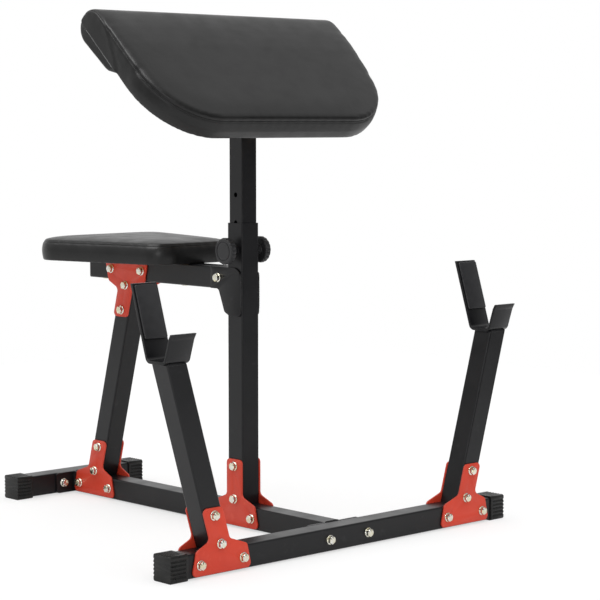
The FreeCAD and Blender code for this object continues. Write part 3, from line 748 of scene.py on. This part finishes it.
@dataclass
class Knobs:
    """Moulded knobs: the pull knob of the height pin on the left and the clamp's on the right."""

    radius: float = 24.0
    thick: float = 12.0
    flutes: int = 18
    flute_depth: float = 1.3
    flute_power: float = 1.5
    columns_per_flute: int = 10
    recess: float = 13.0
    recess_depth: float = 6.0
    pin_bore: float = 4.06
    screw_bore: float = 5.06
    bore_end: float = 10.0
    hub: float = 10.0

    def face(self) -> list[tuple[float, float, float]]:
        """Rim and stepped front as (height, radius, share of the flute depth), from the back outwards.

        Returns:
            The rows.
        """
        rim = self.radius
        top = self.thick
        return [(0, rim - 3, 0), (0.4, rim - 1.6, 0.4), (1.4, rim - 0.5, 0.9), (3, rim, 1), (top - 3.2, rim, 1),
                (top - 1.6, rim - 0.5, 0.9), (top - 0.5, rim - 1.6, 0.4), (top - 0.1, rim - 2.9, 0.05),
                (top, rim - 3.6, 0), (top, rim - 6.2, 0), (top - 0.3, rim - 6.7, 0), (top - 1.2, rim - 7.0, 0),
                (top - 1.2, rim - 7.6, 0), (top - 0.3, rim - 8.0, 0), (top - 0.05, rim - 8.6, 0),
                (top, rim - 12, 0), (top, 0, 0)]

    def shell(self, inner: list[tuple[float, float, float]]) -> Surface:
        """Turn a knob: scallops are cut where the cosine of the flute angle is positive.

        Args:
            inner: Rows of the knob's inside and back, as in its face.

        Returns:
            The knob.
        """
        table = np.array(inner + self.face())
        angle = np.linspace(0, 2 * np.pi, self.flutes * self.columns_per_flute, endpoint=False)
        scallop = np.clip(np.cos(self.flutes * angle), 0, None) ** self.flute_power
        radii = table[:, 1:2] - self.flute_depth * table[:, 2:] * scallop[None]
        return turned(table[:, :1], radii)

    def place(self, node: str, outward: float) -> Place:
        """Place of a knob: the middle of its node's box, at the back plane of its rim.

        Args:
            node: Name of the CAD node.
            outward: Way that the knob faces along X, 1 or -1.

        Returns:
            The place.
        """
        low, high = box_corners(node)
        middle = (low + high) / 2
        front = high[0] if outward > 0 else low[0]
        origin = np.array([front - outward * self.thick * MM, middle[1], middle[2]])
        along = np.array([outward, 0.0, 0.0])
        side = np.array([0.0, 0.0, 1.0])
        return Place(origin, np.stack([side, np.cross(along, side), along]), self.thick * MM)

    def build(self) -> None:
        """Make both knobs."""
        end = self.bore_end
        hollow = [(end, 0, 0), (end, self.pin_bore, 0), (self.recess_depth, self.pin_bore, 0),
                  (self.recess_depth, self.recess - 0.8, 0), (self.recess_depth - 0.8, self.recess, 0),
                  (0.6, self.recess, 0), (0, self.recess + 0.6, 0)]
        pull = self.shell(hollow).stamped([self.place("pull_pin_knob", -1.0)])
        finish_piece(pull.object("pull_knob"), Slot.KNOB, Body.PIN, ["pull_pin_knob"])
        low, high = box_corners("clamp_knob")
        back = self.thick - (high[0] - low[0]) / MM
        stem = [(end, 0, 0), (end, self.screw_bore, 0), (back, self.screw_bore, 0), (back, self.hub - 0.5, 0),
                (back + 0.5, self.hub, 0), (-0.8, self.hub, 0), (0, self.hub + 0.8, 0)]
        clamp = self.shell(stem).stamped([self.place("clamp_knob", 1.0)])
        finish_piece(clamp.object("clamp_hand_knob"), Slot.KNOB, Body.CLAMP, ["clamp_knob"])


@dataclass
class SoftEdges:
    """Cut plates and mouldings whose edges are rounded a little, as sawn, pressed and moulded edges are."""

    plate_mm: float = 0.5
    moulding_mm: float = 0.9
    strip_mm: float = 1.4
    angle: float = 35.0
    segments: int = 2

    def width(self, node: str) -> float:
        """Width of a node's rounding in millimetres, or 0 where its CAD edges stay.

        Args:
            node: Name of the CAD node.

        Returns:
            The width.
        """
        slot = SLOTS[node]
        if slot == Slot.ORANGE or node.endswith(("_bar_cradle", "_rail_bracket")):
            return self.plate_mm
        widths = {Slot.RUBBER: self.moulding_mm, Slot.PLUG: self.moulding_mm, Slot.LINER: self.strip_mm}
        return widths.get(slot, 0.0)

    def copy(self, node: str) -> Object:
        """Merged copy of a CAD node with a live bevel on its sharp edges.

        Args:
            node: Name of the CAD node.

        Returns:
            The copy.
        """
        made = node_copy(node, "soft_" + node, flatten=True)
        made.data.shade_smooth()
        bevel = made.modifiers.new("rounded", "BEVEL")
        bevel.width = self.width(node) * MM
        bevel.segments = self.segments
        bevel.limit_method = "ANGLE"
        bevel.angle_limit = math.radians(self.angle)
        bevel.use_clamp_overlap = False
        bevel.harden_normals = True
        return made

    def build(self) -> None:
        """Replace the plates and mouldings of the frame."""
        for node in frame["nodes"]:
            if self.width(node):
                finish_piece(self.copy(node), SLOTS[node], Body.FRAME, [node])


# A straight bead: its ends in metres and its radius in millimetres.
Line = tuple[Sequence[float], Sequence[float], float]


@dataclass
class Welds:
    """Rippled weld beads under the powder coat.

    The first four sizes are radii of beads.  An inset is how far a bead stops short of the edge that it runs to, and a
    sink is how far it lies past the edge that it fills.
    """

    radius: float = 2.0
    small: float = 1.5
    large: float = 3.0
    boss: float = 1.1
    ripple_mm: float = 3.2
    ripple: float = 0.16
    columns: int = 12
    rows: int = 7
    ring_rows: int = 6
    least_rows: int = 12
    tube_half: float = 20.0
    tube_run: float = 16.0
    flange_thick: float = 4.0
    bracket_inset: float = 9.0
    bracket_sink: float = 0.8
    cradle_inset: float = 1.0
    cradle_sink: float = 0.4
    cradle_step: float = 2.4
    mitre_inset: float = 3.0
    skew: tuple[float, float, float] = (0.37, 0.53, 0.76)

    def bead(self, start: Sequence[float], end: Sequence[float], radius: float) -> Surface:
        """Straight bead: a tube whose radius swells once for each ripple and closes at both ends.

        At share t of the length, r = radius * (1 - (2t - 1)^8)^(1/2) * (1 + ripple * cos(2 pi L t / ripple_mm)).

        Args:
            start: One end, in metres.
            end: The other end, in metres.
            radius: Radius of the bead in millimetres.

        Returns:
            The closed bead.
        """
        run = np.array(end) - np.array(start)
        length = float(np.linalg.norm(run))
        along = run / length
        side = np.cross(along, self.skew)
        side /= np.linalg.norm(side)
        other = np.cross(along, side)
        count = max(self.least_rows, int(length / MM / self.ripple_mm * self.rows))
        share = np.linspace(0, 1, count)
        angle = np.linspace(0, 2 * np.pi, self.columns, endpoint=False)
        taper = np.sqrt(np.clip(1 - (2 * share - 1) ** 8, 0, None))
        wave = 1 + self.ripple * np.cos(2 * np.pi * length / MM * share / self.ripple_mm)
        size = (radius * MM * taper * wave)[:, None, None]
        ring = np.cos(angle)[None, :, None] * side + np.sin(angle)[None, :, None] * other
        middle = np.array(start) + share[:, None] * run
        return Surface.from_grid(middle[:, None] + size * ring)

    def ring(self, centre: np.ndarray, reach: float, radius: float) -> Surface:
        """Bead round a boss on a face square to X: a rippled torus.

        Args:
            centre: Middle of the ring, in metres.
            reach: Radius of the ring in millimetres.
            radius: Radius of the bead in millimetres.

        Returns:
            The closed bead.
        """
        count = int(2 * np.pi * reach / self.ripple_mm)
        turn = np.linspace(0, 2 * np.pi, count * self.ring_rows, endpoint=False)[:, None]
        angle = np.linspace(0, 2 * np.pi, self.columns, endpoint=False)[None]
        size = radius * (1 + self.ripple * np.cos(count * turn))
        out = reach + size * np.cos(angle)
        grid = np.stack([size * np.sin(angle), out * np.cos(turn), out * np.sin(turn)], axis=-1)
        return Surface.from_grid(centre + grid * MM, wrap_rows=True)

    def bracket_lines(self) -> list[Line]:
        """Lines down the front edges of the rail brackets, on the post's sides.

        Returns:
            The lines.
        """
        lines = []
        inset = self.bracket_inset * MM
        for side, outward in (("left", -1), ("right", 1)):
            low, high = box_corners(side + "_rail_bracket")
            x = (high if outward < 0 else low)[0] + outward * self.bracket_sink * MM
            lines.append(((x, low[1], low[2] + inset), (x, low[1], high[2] - inset), self.radius))
        return lines

    def flange_lines(self) -> list[Line]:
        """Lines round the main beam at both of its flanges.

        Returns:
            The lines.
        """
        low, high = box_corners("main_beam")
        half, run, thick = self.tube_half * MM, self.tube_run * MM, self.flange_thick * MM
        middle = (low[2] + high[2]) / 2
        lines = []
        for y in (low[1] + thick, high[1] - thick):
            lines.append(((-run, y, middle + half), (run, y, middle + half), self.small))
            lines += [((x, y, middle - run), (x, y, middle + run), self.small) for x in (-half, half)]
        return lines

    def cradle_lines(self) -> list[Line]:
        """Lines round the tops of the uprights, under their cradles.

        Returns:
            The lines.
        """
        lines = []
        run = self.tube_run * MM
        for side in ("left", "right"):
            points = node_arrays(side + "_upright")[0]
            rim = points[points[:, 2] > points[:, 2].max() - TOUCH]
            low, high = rim.min(axis=0), rim.max(axis=0)
            x, y = (low[:2] + high[:2]) / 2
            top = high[2]
            level = top - self.cradle_sink * MM
            front = low[1] + self.cradle_step * MM
            reach = (high[0] - low[0]) / 2 - self.cradle_inset * MM
            lines.append(((x - reach, front, top), (x + reach, front, top), self.large))
            lines.append(((x - run, high[1], level), (x + run, high[1], level), self.small))
            lines += [((face, y - run, level), (face, y + run, level), self.small) for face in (low[0], high[0])]
        return lines

    def slider_lines(self, pad: PadFrame) -> list[Line]:
        """Lines where the sliding post meets the pad's plate, along its mitred top.

        Args:
            pad: Frame of the arm pad.

        Returns:
            The lines.
        """
        across, up, off = pad.axes
        plate = node_arrays("arm_pad_plate")[0]
        low, high = box_corners("inner_post")
        front = np.array([0.0, low[1], ((plate @ off).min() - low[1] * off[1]) / off[2]])
        back = front + up * min((plate @ up).max() - front @ up, (high[1] - low[1]) / up[1])
        inset = self.mitre_inset * MM
        reach = across * (high[0] - inset)
        sides = [across * x for x in (low[0], high[0])]
        return [(front - reach, front + reach, self.radius)] + [
            (front + side + up * inset, back + side - up * inset, self.radius) for side in sides]

    def boss_beads(self) -> list[Surface]:
        """Beads round the pin's barrel and the clamp's nut, on the post.

        Returns:
            The beads.
        """
        beads = []
        for node, inner in (("pin_barrel", 1), ("clamp_nut", 0)):
            corners = box_corners(node)
            centre = (corners[0] + corners[1]) / 2
            centre[0] = corners[inner][0]
            beads.append(self.ring(centre, (corners[1][1] - corners[0][1]) / 2 / MM, self.boss))
        return beads

    def build(self, pad: PadFrame) -> None:
        """Lay the beads of the frame and of the sliding post.

        Args:
            pad: Frame of the arm pad, which the sliding post's top is cut to.
        """
        fixed = [self.bead(*line) for line in self.bracket_lines() + self.flange_lines() + self.cradle_lines()]
        moving = [self.bead(*line) for line in self.slider_lines(pad)]
        for name, beads, body in (("frame_weld_beads", fixed + self.boss_beads(), Body.FRAME),
                                  ("slider_weld_beads", moving, Body.SLIDER)):
            finish_piece(Surface.joined(beads).object(name, ROUNDED), Slot.BLACK, body)


def ramp(value: np.ndarray, start: float, end: float) -> np.ndarray:
    """Share that grows from 0 at the start to 1 at the end, and stays there."""
    return np.clip((value - start) / (end - start), 0, 1)


@dataclass
class Roll:
    """Armpit roll across the top of a pad, whose ends the seam goes over.

    Distances are from the pad's top, down its face.  grazing and the full shares say how much of a normal has to lie
    along a direction for a point to count as facing it, at first and wholly.
    """

    seam_inset: float = 4.0
    join: float = 50.0
    join_gap: float = 12.0
    join_rounds: int = 6
    centre_back: float = 34.0
    centre_below: float = 38.0
    hidden: float = 6.0
    brow: float = 28.6
    flat: float = 125.0
    flat_ramp: float = 30.0
    drop: float = 5.2
    lower_ramp: float = 60.0
    end_ramp: float = 12.0
    end_from: float = 30.0
    end_to: float = 165.0
    end_draw: float = 7.1
    ease_from: float = 18.0
    ease_to: float = 26.0
    grazing: float = 0.2
    face_full: float = 0.7
    end_full: float = 0.6
    lower_full: float = 1 / 3
    rise_rounds: int = 5
    shift_rounds: int = 8
    ease_rounds: int = 12

    def drawn_over(self, cover: "Cushion", piece: Object) -> None:
        """Draw the cover tight from the slab over the roll, without the steps of the foam below.

        At a distance v below the top, the face is at least at drop * ((flat - v) / (flat - brow))^2 below its
        highest level, and the sides lie end_draw * (v - end_from) / (end_to - end_from) inside the roll's ends.
        Towards the lower edge, a fall h below the highest level becomes h * h / seam_below, a tighter edge.

        Args:
            cover: The cushion.
            piece: Its even mesh, which is changed.
        """
        across, up, off = cover.axes
        solid = node_arrays(cover.node)[0]
        mesh = piece.data
        points = cover.points(mesh)
        normals = cover.points(mesh, "normal")
        side = points @ across
        end = (solid @ across).max()
        below = ((solid @ up).max() - points @ up) / MM
        fallen = (solid @ off).max() - points @ off
        open_face = ramp(end - np.abs(side), 0, self.end_ramp * MM) * ramp(normals @ off, self.grazing, self.face_full)
        above_flat = ramp(below, self.flat, self.flat - self.flat_ramp)
        fall = self.drop * (np.clip(self.flat - below, 0, None) / (self.flat - self.brow)) ** 2
        rise = np.clip(fallen - fall * MM, 0, None) * open_face * (below > self.brow) * above_flat
        rise[rise > self.drop * MM] = 0
        lower_edge = ramp(-normals @ up, 0, self.lower_full) * (normals @ off > self.grazing)
        lower_edge *= ramp(below, self.flat, self.flat + self.lower_ramp)
        rise += fallen * lower_edge * ramp(fallen, cover.seam_below * MM, 0)
        draw = self.end_draw * MM * (below - self.end_from) / (self.end_to - self.end_from)
        facing = ramp(normals @ across * np.sign(side), self.grazing, self.end_full)
        shift = (end - draw - np.abs(side)) * facing * (below > self.end_from) * (below < self.end_to)
        shift[np.abs(shift) > self.end_draw * MM] = 0
        none = np.zeros(len(points), dtype=bool)
        rise = cover.evened(mesh, rise, none, self.rise_rounds)
        shift = cover.evened(mesh, shift * np.sign(side), none, self.shift_rounds)
        points = points + rise[:, None] * off + shift[:, None] * across
        level = points @ off
        eased = open_face * ramp(below, self.ease_from, self.ease_to) * above_flat
        eased *= cover.evened(mesh, level, none, self.ease_rounds) - level
        cover.set_points(mesh, points + eased[:, None] * off)

    def joined(self, cover: "Cushion", piece: Object, low: np.ndarray) -> np.ndarray:
        """Join the seam of the face's lower part to the two stretches over the roll's ends.

        Each stretch is the cover cut near its end, ordered by angle about the roll's middle line.

        Args:
            cover: The cushion.
            piece: Its swelled cover.
            low: Seam round the whole face, in order from the middle of the top edge.

        Returns:
            Points in order, from under the left end to under the right one.
        """
        across, up, off = cover.axes
        solid = node_arrays(cover.node)[0]
        top = (solid @ up).max()
        centre = up * (top - self.centre_back * MM) + off * ((solid @ off).max() - self.centre_below * MM)
        end = (solid @ across).max() - self.seam_inset * MM
        parts = [low[low @ up < top - (self.join + self.join_gap) * MM]]
        for side in (-1, 1):
            ring = cover.cut(piece, across, side * end)
            above = ring[(ring @ up > top - self.join * MM) & (ring @ off > centre @ off)]
            below = ring[(ring @ up > top - self.hidden * MM) & (ring @ off <= centre @ off)]
            over = cover.around(np.concatenate([above, below]), centre, up, off)
            parts = [over] + parts if side < 0 else parts + [over[::-1]]
        path = np.concatenate(parts)
        for _ in range(self.join_rounds):
            path[1:-1] = (path[:-2] + path[1:-1] + path[2:]) / 3
        return path


@dataclass
class Cushion:
    """Foam pad under sewn synthetic leather: the solid of its node, swelled as cloth and then seamed."""

    node: str
    body: Body
    axes: np.ndarray
    seam_below: float
    board: str
    voxel: float = 5.0
    shrink: float = 2.0
    swell: float = 2.0
    pressure: float = 4.0
    frames: int = 20
    evening: int = 120
    roll: Optional[Roll] = None
    groove: float = 1.2
    groove_width: float = 2.6
    pucker: float = 0.16
    pucker_pitch: float = 23.0
    pucker_width: float = 12.0
    pucker_drift: float = 1.7
    drift_mm: float = 90.0
    cord: float = 0.9
    cord_columns: int = 8
    fill: float = 0.75
    rim: float = 3.5
    rim_reach: float = 14.0
    rim_gap: float = 0.3
    step: float = 1.5
    chunk: int = 4000

    @property
    def normal(self) -> np.ndarray:
        """Direction off the face."""
        return self.axes[2]

    def points(self, mesh: Mesh, field: str = "co") -> np.ndarray:
        """Positions or normals of a mesh's vertices as an array.

        Args:
            mesh: The mesh.
            field: What is read, co or normal.

        Returns:
            One row for each vertex.
        """
        values = np.empty(len(mesh.vertices) * 3)
        mesh.vertices.foreach_get(field, values)
        return values.reshape(-1, 3)

    def set_points(self, mesh: Mesh, values: np.ndarray) -> None:
        """Move a mesh's vertices."""
        mesh.vertices.foreach_set("co", values.ravel())
        mesh.update()

    def bake(self, piece: Object) -> None:
        """Apply the modifiers of a piece to its mesh.

        Args:
            piece: The piece, which is changed.
        """
        done = bpy.data.meshes.new_from_object(piece.evaluated_get(bpy.context.evaluated_depsgraph_get()))
        piece.modifiers.clear()
        piece.data = done

    def blank(self) -> Object:
        """Even mesh of the CAD solid, eased a little before it swells.

        Returns:
            The new cover.
        """
        piece = node_copy(self.node, self.node + "_cover")
        remesh = piece.modifiers.new("even", "REMESH")
        remesh.mode = "VOXEL"
        remesh.voxel_size = self.voxel * MM
        ease = piece.modifiers.new("ease", "SMOOTH")
        ease.iterations = 1
        ease.factor = 0.5
        self.bake(piece)
        return piece

    def held(self, places: np.ndarray) -> np.ndarray:
        """Which points stay where they are: those on the back and round the board."""
        back = (node_arrays(self.board)[0] @ self.normal).max()
        return places @ self.normal < back + self.voxel * MM

    def swelled(self, piece: Object) -> None:
        """Run the cover as cloth under pressure, and move each point out by what it gained.

        The gain g is capped softly, as swell * tanh(g / swell), and evened over the cover.

        Args:
            piece: The even mesh, which is changed.
        """
        start = self.points(piece.data)
        outward = self.points(piece.data, "normal")
        fixed = self.held(start)
        self.set_points(piece.data, start - outward * np.where(fixed, 0, self.shrink * MM)[:, None])
        group = piece.vertex_groups.new(name="held")
        group.add(np.flatnonzero(fixed).tolist(), 1.0, "REPLACE")
        cloth = piece.modifiers.new("swell", "CLOTH")
        cloth.settings.use_pressure = True
        cloth.settings.uniform_pressure_force = self.pressure
        cloth.settings.effector_weights.gravity = 0.0
        cloth.settings.vertex_group_mass = "held"
        cloth.point_cache.frame_start = 1
        cloth.point_cache.frame_end = self.frames
        scene = bpy.context.scene
        for number in range(1, self.frames + 1):
            scene.frame_set(number)
        done = piece.evaluated_get(bpy.context.evaluated_depsgraph_get()).data
        gain = ((self.points(done) - start) * outward).sum(axis=1)
        gain = self.evened(piece.data, self.swell * MM * np.tanh(gain / (self.swell * MM)), fixed,
                           self.evening)
        piece.modifiers.clear()
        piece.vertex_groups.clear()
        scene.frame_set(1)
        self.set_points(piece.data, start + outward * gain[:, None])

    def evened(self, mesh: Mesh, gain: np.ndarray, fixed: np.ndarray, rounds: int) -> np.ndarray:
        """Even out a field on a mesh: each point takes half of its own and half of its neighbours' mean.

        Args:
            mesh: Mesh that the field belongs to.
            gain: One value for each vertex.
            fixed: Which points keep a value of 0.
            rounds: How often that is done.

        Returns:
            The evened field.
        """
        edges = np.empty(len(mesh.edges) * 2, dtype=np.int64)
        mesh.edges.foreach_get("vertices", edges)
        one, two = edges.reshape(-1, 2).T
        count = np.maximum(np.bincount(edges, minlength=len(gain)), 1)
        for _ in range(rounds):
            total = np.bincount(one, gain[two], len(gain)) + np.bincount(two, gain[one], len(gain))
            gain = np.where(fixed, 0, (gain + total / count) / 2)
        return gain

    def subdivided(self, piece: Object) -> None:
        """Divide the swelled mesh once, and lay its rim flat round the back of the board.

        Up to a height of rim_reach over the board's back, a height h becomes
        max(h - rim, 0) * rim_reach / (rim_reach - rim), which squares the rounded lower edge.

        Args:
            piece: The swelled cover, which is changed.
        """
        smooth = piece.modifiers.new("finer", "SUBSURF")
        smooth.levels = 1
        smooth.render_levels = 1
        self.bake(piece)
        points = self.points(piece.data)
        back = (node_arrays(self.board)[0] @ self.normal).min() + self.rim_gap * MM
        height = (points @ self.normal - back) / MM
        squared = np.clip(height - self.rim, 0, None) * self.rim_reach / (self.rim_reach - self.rim)
        near = (height > -self.rim) & (height < self.rim_reach)
        move = np.where(near, squared - height, 0) * MM
        self.set_points(piece.data, points + move[:, None] * self.normal)

    def cut(self, piece: Object, direction: np.ndarray, level: float) -> np.ndarray:
        """Points where a plane cuts the cover.

        Args:
            piece: The swelled cover.
            direction: Normal of the plane.
            level: Place of the plane along its normal, in metres.

        Returns:
            The points in no order.
        """
        shell = bmesh.new()
        shell.from_mesh(piece.data)
        made = bmesh.ops.bisect_plane(shell, geom=shell.verts[:] + shell.edges[:] + shell.faces[:], dist=SLIVER,
                                      plane_co=direction * level, plane_no=direction)
        found = np.array([v.co[:] for v in made["geom_cut"] if isinstance(v, bmesh.types.BMVert)])
        shell.free()
        return found

    def around(self, path: np.ndarray, centre: np.ndarray, first: np.ndarray, second: np.ndarray) -> np.ndarray:
        """Put points in the order of their angle about a centre, from the first axis to the second."""
        flat = path - centre
        return path[np.argsort(np.arctan2(flat @ second, flat @ first))]

    def seam(self, piece: Object) -> np.ndarray:
        """Path where the face meets the side strip: the cover cut by a plane below its face.

        With a roll, the path is open: on each side it leaves that plane and goes over the roll's end.

        Args:
            piece: The swelled cover.

        Returns:
            Evenly spaced points of the path, in metres.
        """
        across, up, off = self.axes
        points = self.points(piece.data)
        middle = (points.min(axis=0) + points.max(axis=0)) / 2
        level = (node_arrays(self.node)[0] @ off).max() - self.seam_below * MM
        path = self.around(self.cut(piece, off, level), middle, -up, across)
        if self.roll is not None:
            path = self.roll.joined(self, piece, path)
        else:
            path = np.concatenate([path, path[:1]])
        run = np.concatenate([[0], np.cumsum(np.linalg.norm(np.diff(path, axis=0), axis=1))])
        even = np.linspace(0, run[-1], int(run[-1] / (self.step * MM)), endpoint=self.roll is not None)
        return np.stack([np.interp(even, run, path[:, i]) for i in range(3)], axis=1)

    def seamed(self, piece: Object, path: np.ndarray) -> None:
        """Draw the cover in along its seam and pucker it a little on both sides.

        A point at distance d from the seam and length s along it moves inwards by
        groove * exp(-(d / w)^2) + pucker * exp(-(d / p)^2) * cos(2 pi s / pitch), whose pitch drifts a little.

        Args:
            piece: The subdivided cover, which is changed.
            path: Points of the seam.
        """
        points = self.points(piece.data)
        normals = self.points(piece.data, "normal")
        near = np.empty(len(points), dtype=np.int64)
        apart = np.empty(len(points))
        for part in np.array_split(np.arange(len(points)), 1 + len(points) // self.chunk):
            square = ((points[part, None] - path[None]) ** 2).sum(axis=2)
            near[part] = square.argmin(axis=1)
            apart[part] = np.sqrt(square.min(axis=1))
        run = near * self.step
        waves = np.cos(2 * np.pi * run / self.pucker_pitch + self.pucker_drift * np.sin(run / self.drift_mm))
        depth = self.groove * np.exp(-(apart / (self.groove_width * MM)) ** 2)
        depth += self.pucker * np.exp(-(apart / (self.pucker_width * MM)) ** 2) * waves
        self.set_points(piece.data, points - normals * (depth * MM)[:, None])

    def seam_cord(self, piece: Object, path: np.ndarray) -> Surface:
        """Folded edge that stands in the seam: a thin tube carried along the path on the cover.

        Args:
            piece: The finished cover.
            path: Points of the seam.

        Returns:
            The closed tube.
        """
        cover = BVHTree.FromPolygons([v.co for v in piece.data.vertices],
                                     [f.vertices for f in piece.data.polygons])
        found = [cover.find_nearest(point) for point in path.tolist()]
        line = np.array([hit[0][:] for hit in found])
        outward = np.array([hit[1][:] for hit in found])
        closed = self.roll is None
        pad = np.pad(line, ((1, 1), (0, 0)), mode="wrap" if closed else "edge")
        line = (pad[:-2] + line + pad[2:]) / 3
        along = pad[2:] - pad[:-2]
        along /= np.linalg.norm(along, axis=1, keepdims=True)
        outward -= (outward * along).sum(axis=1, keepdims=True) * along
        outward /= np.linalg.norm(outward, axis=1, keepdims=True)
        side = np.cross(along, outward)
        angle = np.linspace(0, 2 * np.pi, self.cord_columns, endpoint=False)[None, :, None]
        ring = np.cos(angle) * outward[:, None] + np.sin(angle) * side[:, None]
        size = np.full((len(line), 1, 1), self.cord * MM)
        if not closed:
            size[[0, -1]] = 0.0
        return Surface.from_grid(line[:, None] + size * ring, wrap_rows=closed)

    def build(self) -> Object:
        """Make the cover and its seam.

        Returns:
            The cover.
        """
        piece = self.blank()
        if self.roll is not None:
            self.roll.drawn_over(self, piece)
        self.swelled(piece)
        self.subdivided(piece)
        path = self.seam(piece)
        self.seamed(piece, path)
        piece.data.shade_smooth()
        finish_piece(piece, Slot.LEATHER, self.body, [self.node])
        fold = self.seam_cord(piece, path).object(self.node + "_seam", ROUNDED)
        finish_piece(fold, Slot.LEATHER, self.body)
        return piece


def dress_nodes() -> None:
    """Give every CAD node the finish of its slot."""
    for name, node in frame["nodes"].items():
        node.data.materials.clear()
        finish = SLOPING_BOARD if name == "arm_pad_board" else FINISHES[SLOTS[name]]
        node.data.materials.append(finish.material())


@dataclass(frozen=True)
class Sun:
    """A wide, even light: where it comes from, the angle in degrees that it fills, and what it shows on."""

    name: str
    towards: tuple[float, float, float]
    width: float
    strength: float
    mirrored: bool = True
    spread: bool = True

    def build(self) -> None:
        """Add the light, seen in glossy surfaces where it is mirrored and on matt ones where it is spread."""
        data = bpy.data.lights.new(self.name, "SUN")
        data.angle = math.radians(self.width)
        data.energy = self.strength
        made = new_object(self.name, data)
        made.visible_glossy = self.mirrored
        made.visible_diffuse = self.spread
        made.rotation_euler = Vector(self.towards).to_track_quat("Z", "Y").to_euler()


SUNS = (
    # Soft top light, as from a large ceiling panel.
    Sun("high", (-0.3, -0.1, 1.0), 60.0, 0.6),
    # Fill for matt colours, left out of mirrors, because the black faces mirror a dark front.
    Sun("front", (0.2, -1.0, 0.45), 90.0, 1.4, mirrored=False),
    # Low side light that draws thin lines on the corners of the tubes.
    Sun("corners", (-0.75, -0.64, 0.12), 20.0, 0.5),
    # Sheen along the pad's left edge, shown in glossy surfaces only.
    Sun("sheen", (-0.55, 0.0, 0.82), 44.0, 2.4, spread=False),
)


@dataclass
class Studio:
    """Camera at the photograph's place, level soft light, a pale floor and a white background."""

    eye: tuple[float, float, float] = (-2.41706, -2.84557, 0.73275)
    yaw: float = -43.21
    tilt: float = 84.98
    lens: float = 121.51
    sensor: float = 36.0
    far: float = 200.0
    floor_size: float = 4.4
    floor_colour: str = "#fdfdfd"
    floor_glow: float = 0.6
    glow_strength: float = 1.0
    mirror_share: float = 0.1
    bright_side: tuple[float, float, float] = (0.05, 0.75, 0.7)
    dim_from: float = -0.5
    bright_from: float = 0.7
    dim: float = 0.06

    def camera(self) -> None:
        """Set the camera."""
        data = bpy.data.cameras.new("camera")
        data.lens = self.lens
        data.sensor_width = self.sensor
        data.clip_end = self.far
        made = new_object("camera", data)
        made.location = self.eye
        made.rotation_euler = (math.radians(self.tilt), 0.0, math.radians(self.yaw))
        bpy.context.scene.camera = made

    def backdrop_share(self, graph: Graph) -> NodeSocket:
        """Share of the white backdrop: whole for what the camera sees, also through glass, less in mirrors.

        Args:
            graph: Node tree to add to.

        Returns:
            The share.
        """
        rays = graph.add("LightPath", {}).outputs
        mirrored = graph.maths("MULTIPLY", rays["Is Glossy Ray"], self.mirror_share)
        through = graph.maths("MAXIMUM", rays["Is Transmission Ray"], mirrored)
        return graph.maths("MAXIMUM", rays["Is Camera Ray"], through)

    def world(self) -> None:
        """White backdrop, with light that comes from above and behind and dims towards the front."""
        made = bpy.data.worlds.new("studio")
        bpy.context.scene.world = made
        graph = Graph.of(made)
        facing = graph.along(graph.place("Generated"), Vector(self.bright_side).normalized())
        strength = graph.span(facing, (self.dim_from, self.bright_from), (self.dim, 1.0))
        light = graph.add("Background", {"Color": WHITE, "Strength": strength})
        white = graph.add("Background", {"Color": WHITE, "Strength": 1.0})
        graph.add("OutputWorld", {"Surface": graph.mixed(self.backdrop_share(graph), light, white)})

    def floor(self) -> None:
        """Lay a large white floor, which glows a little as a lit backdrop does and keeps a faint shadow."""
        half = self.floor_size / 2
        corners = [(-half, -half, 0), (half, -half, 0), (half, half, 0), (-half, half, 0)]
        mesh = bpy.data.meshes.new("floor")
        mesh.from_pydata(corners, [], [(0, 1, 2, 3)])
        made = new_object("floor", mesh)
        paint = bpy.data.materials.new("pale_studio_floor")
        graph = Graph.of(paint)
        matt = graph.add("BsdfDiffuse", {"Color": linear(self.floor_colour)})
        white = graph.add("Emission", {"Strength": self.glow_strength})
        share = graph.maths("MULTIPLY", self.backdrop_share(graph), self.floor_glow)
        graph.add("OutputMaterial", {"Surface": graph.mixed(share, matt, white)})
        mesh.materials.append(paint)

    def build(self) -> None:
        """Set up the studio."""
        bpy.context.scene.view_settings.view_transform = "Standard"
        self.camera()
        self.world()
        self.floor()
        for sun in SUNS:
            sun.build()


def main() -> None:
    """Build the bench in order."""
    logging.basicConfig(level=logging.INFO, format="%(name)s: %(message)s")
    pad = PadFrame()
    dress_nodes()
    SoftEdges().build()
    Fasteners().build(pad)
    Knobs().build()
    Welds().build(pad)
    Cushion("seat_cushion", Body.FRAME, np.eye(3), 9.5, "seat_board", voxel=4.0, swell=0.8).build()
    Cushion("arm_pad_cushion", Body.SLIDER, pad.axes, 10.2, "arm_pad_board", voxel=4.0, swell=1.6,
            roll=Roll()).build()
    Studio().build()


if __name__ == "__main__":
    main()
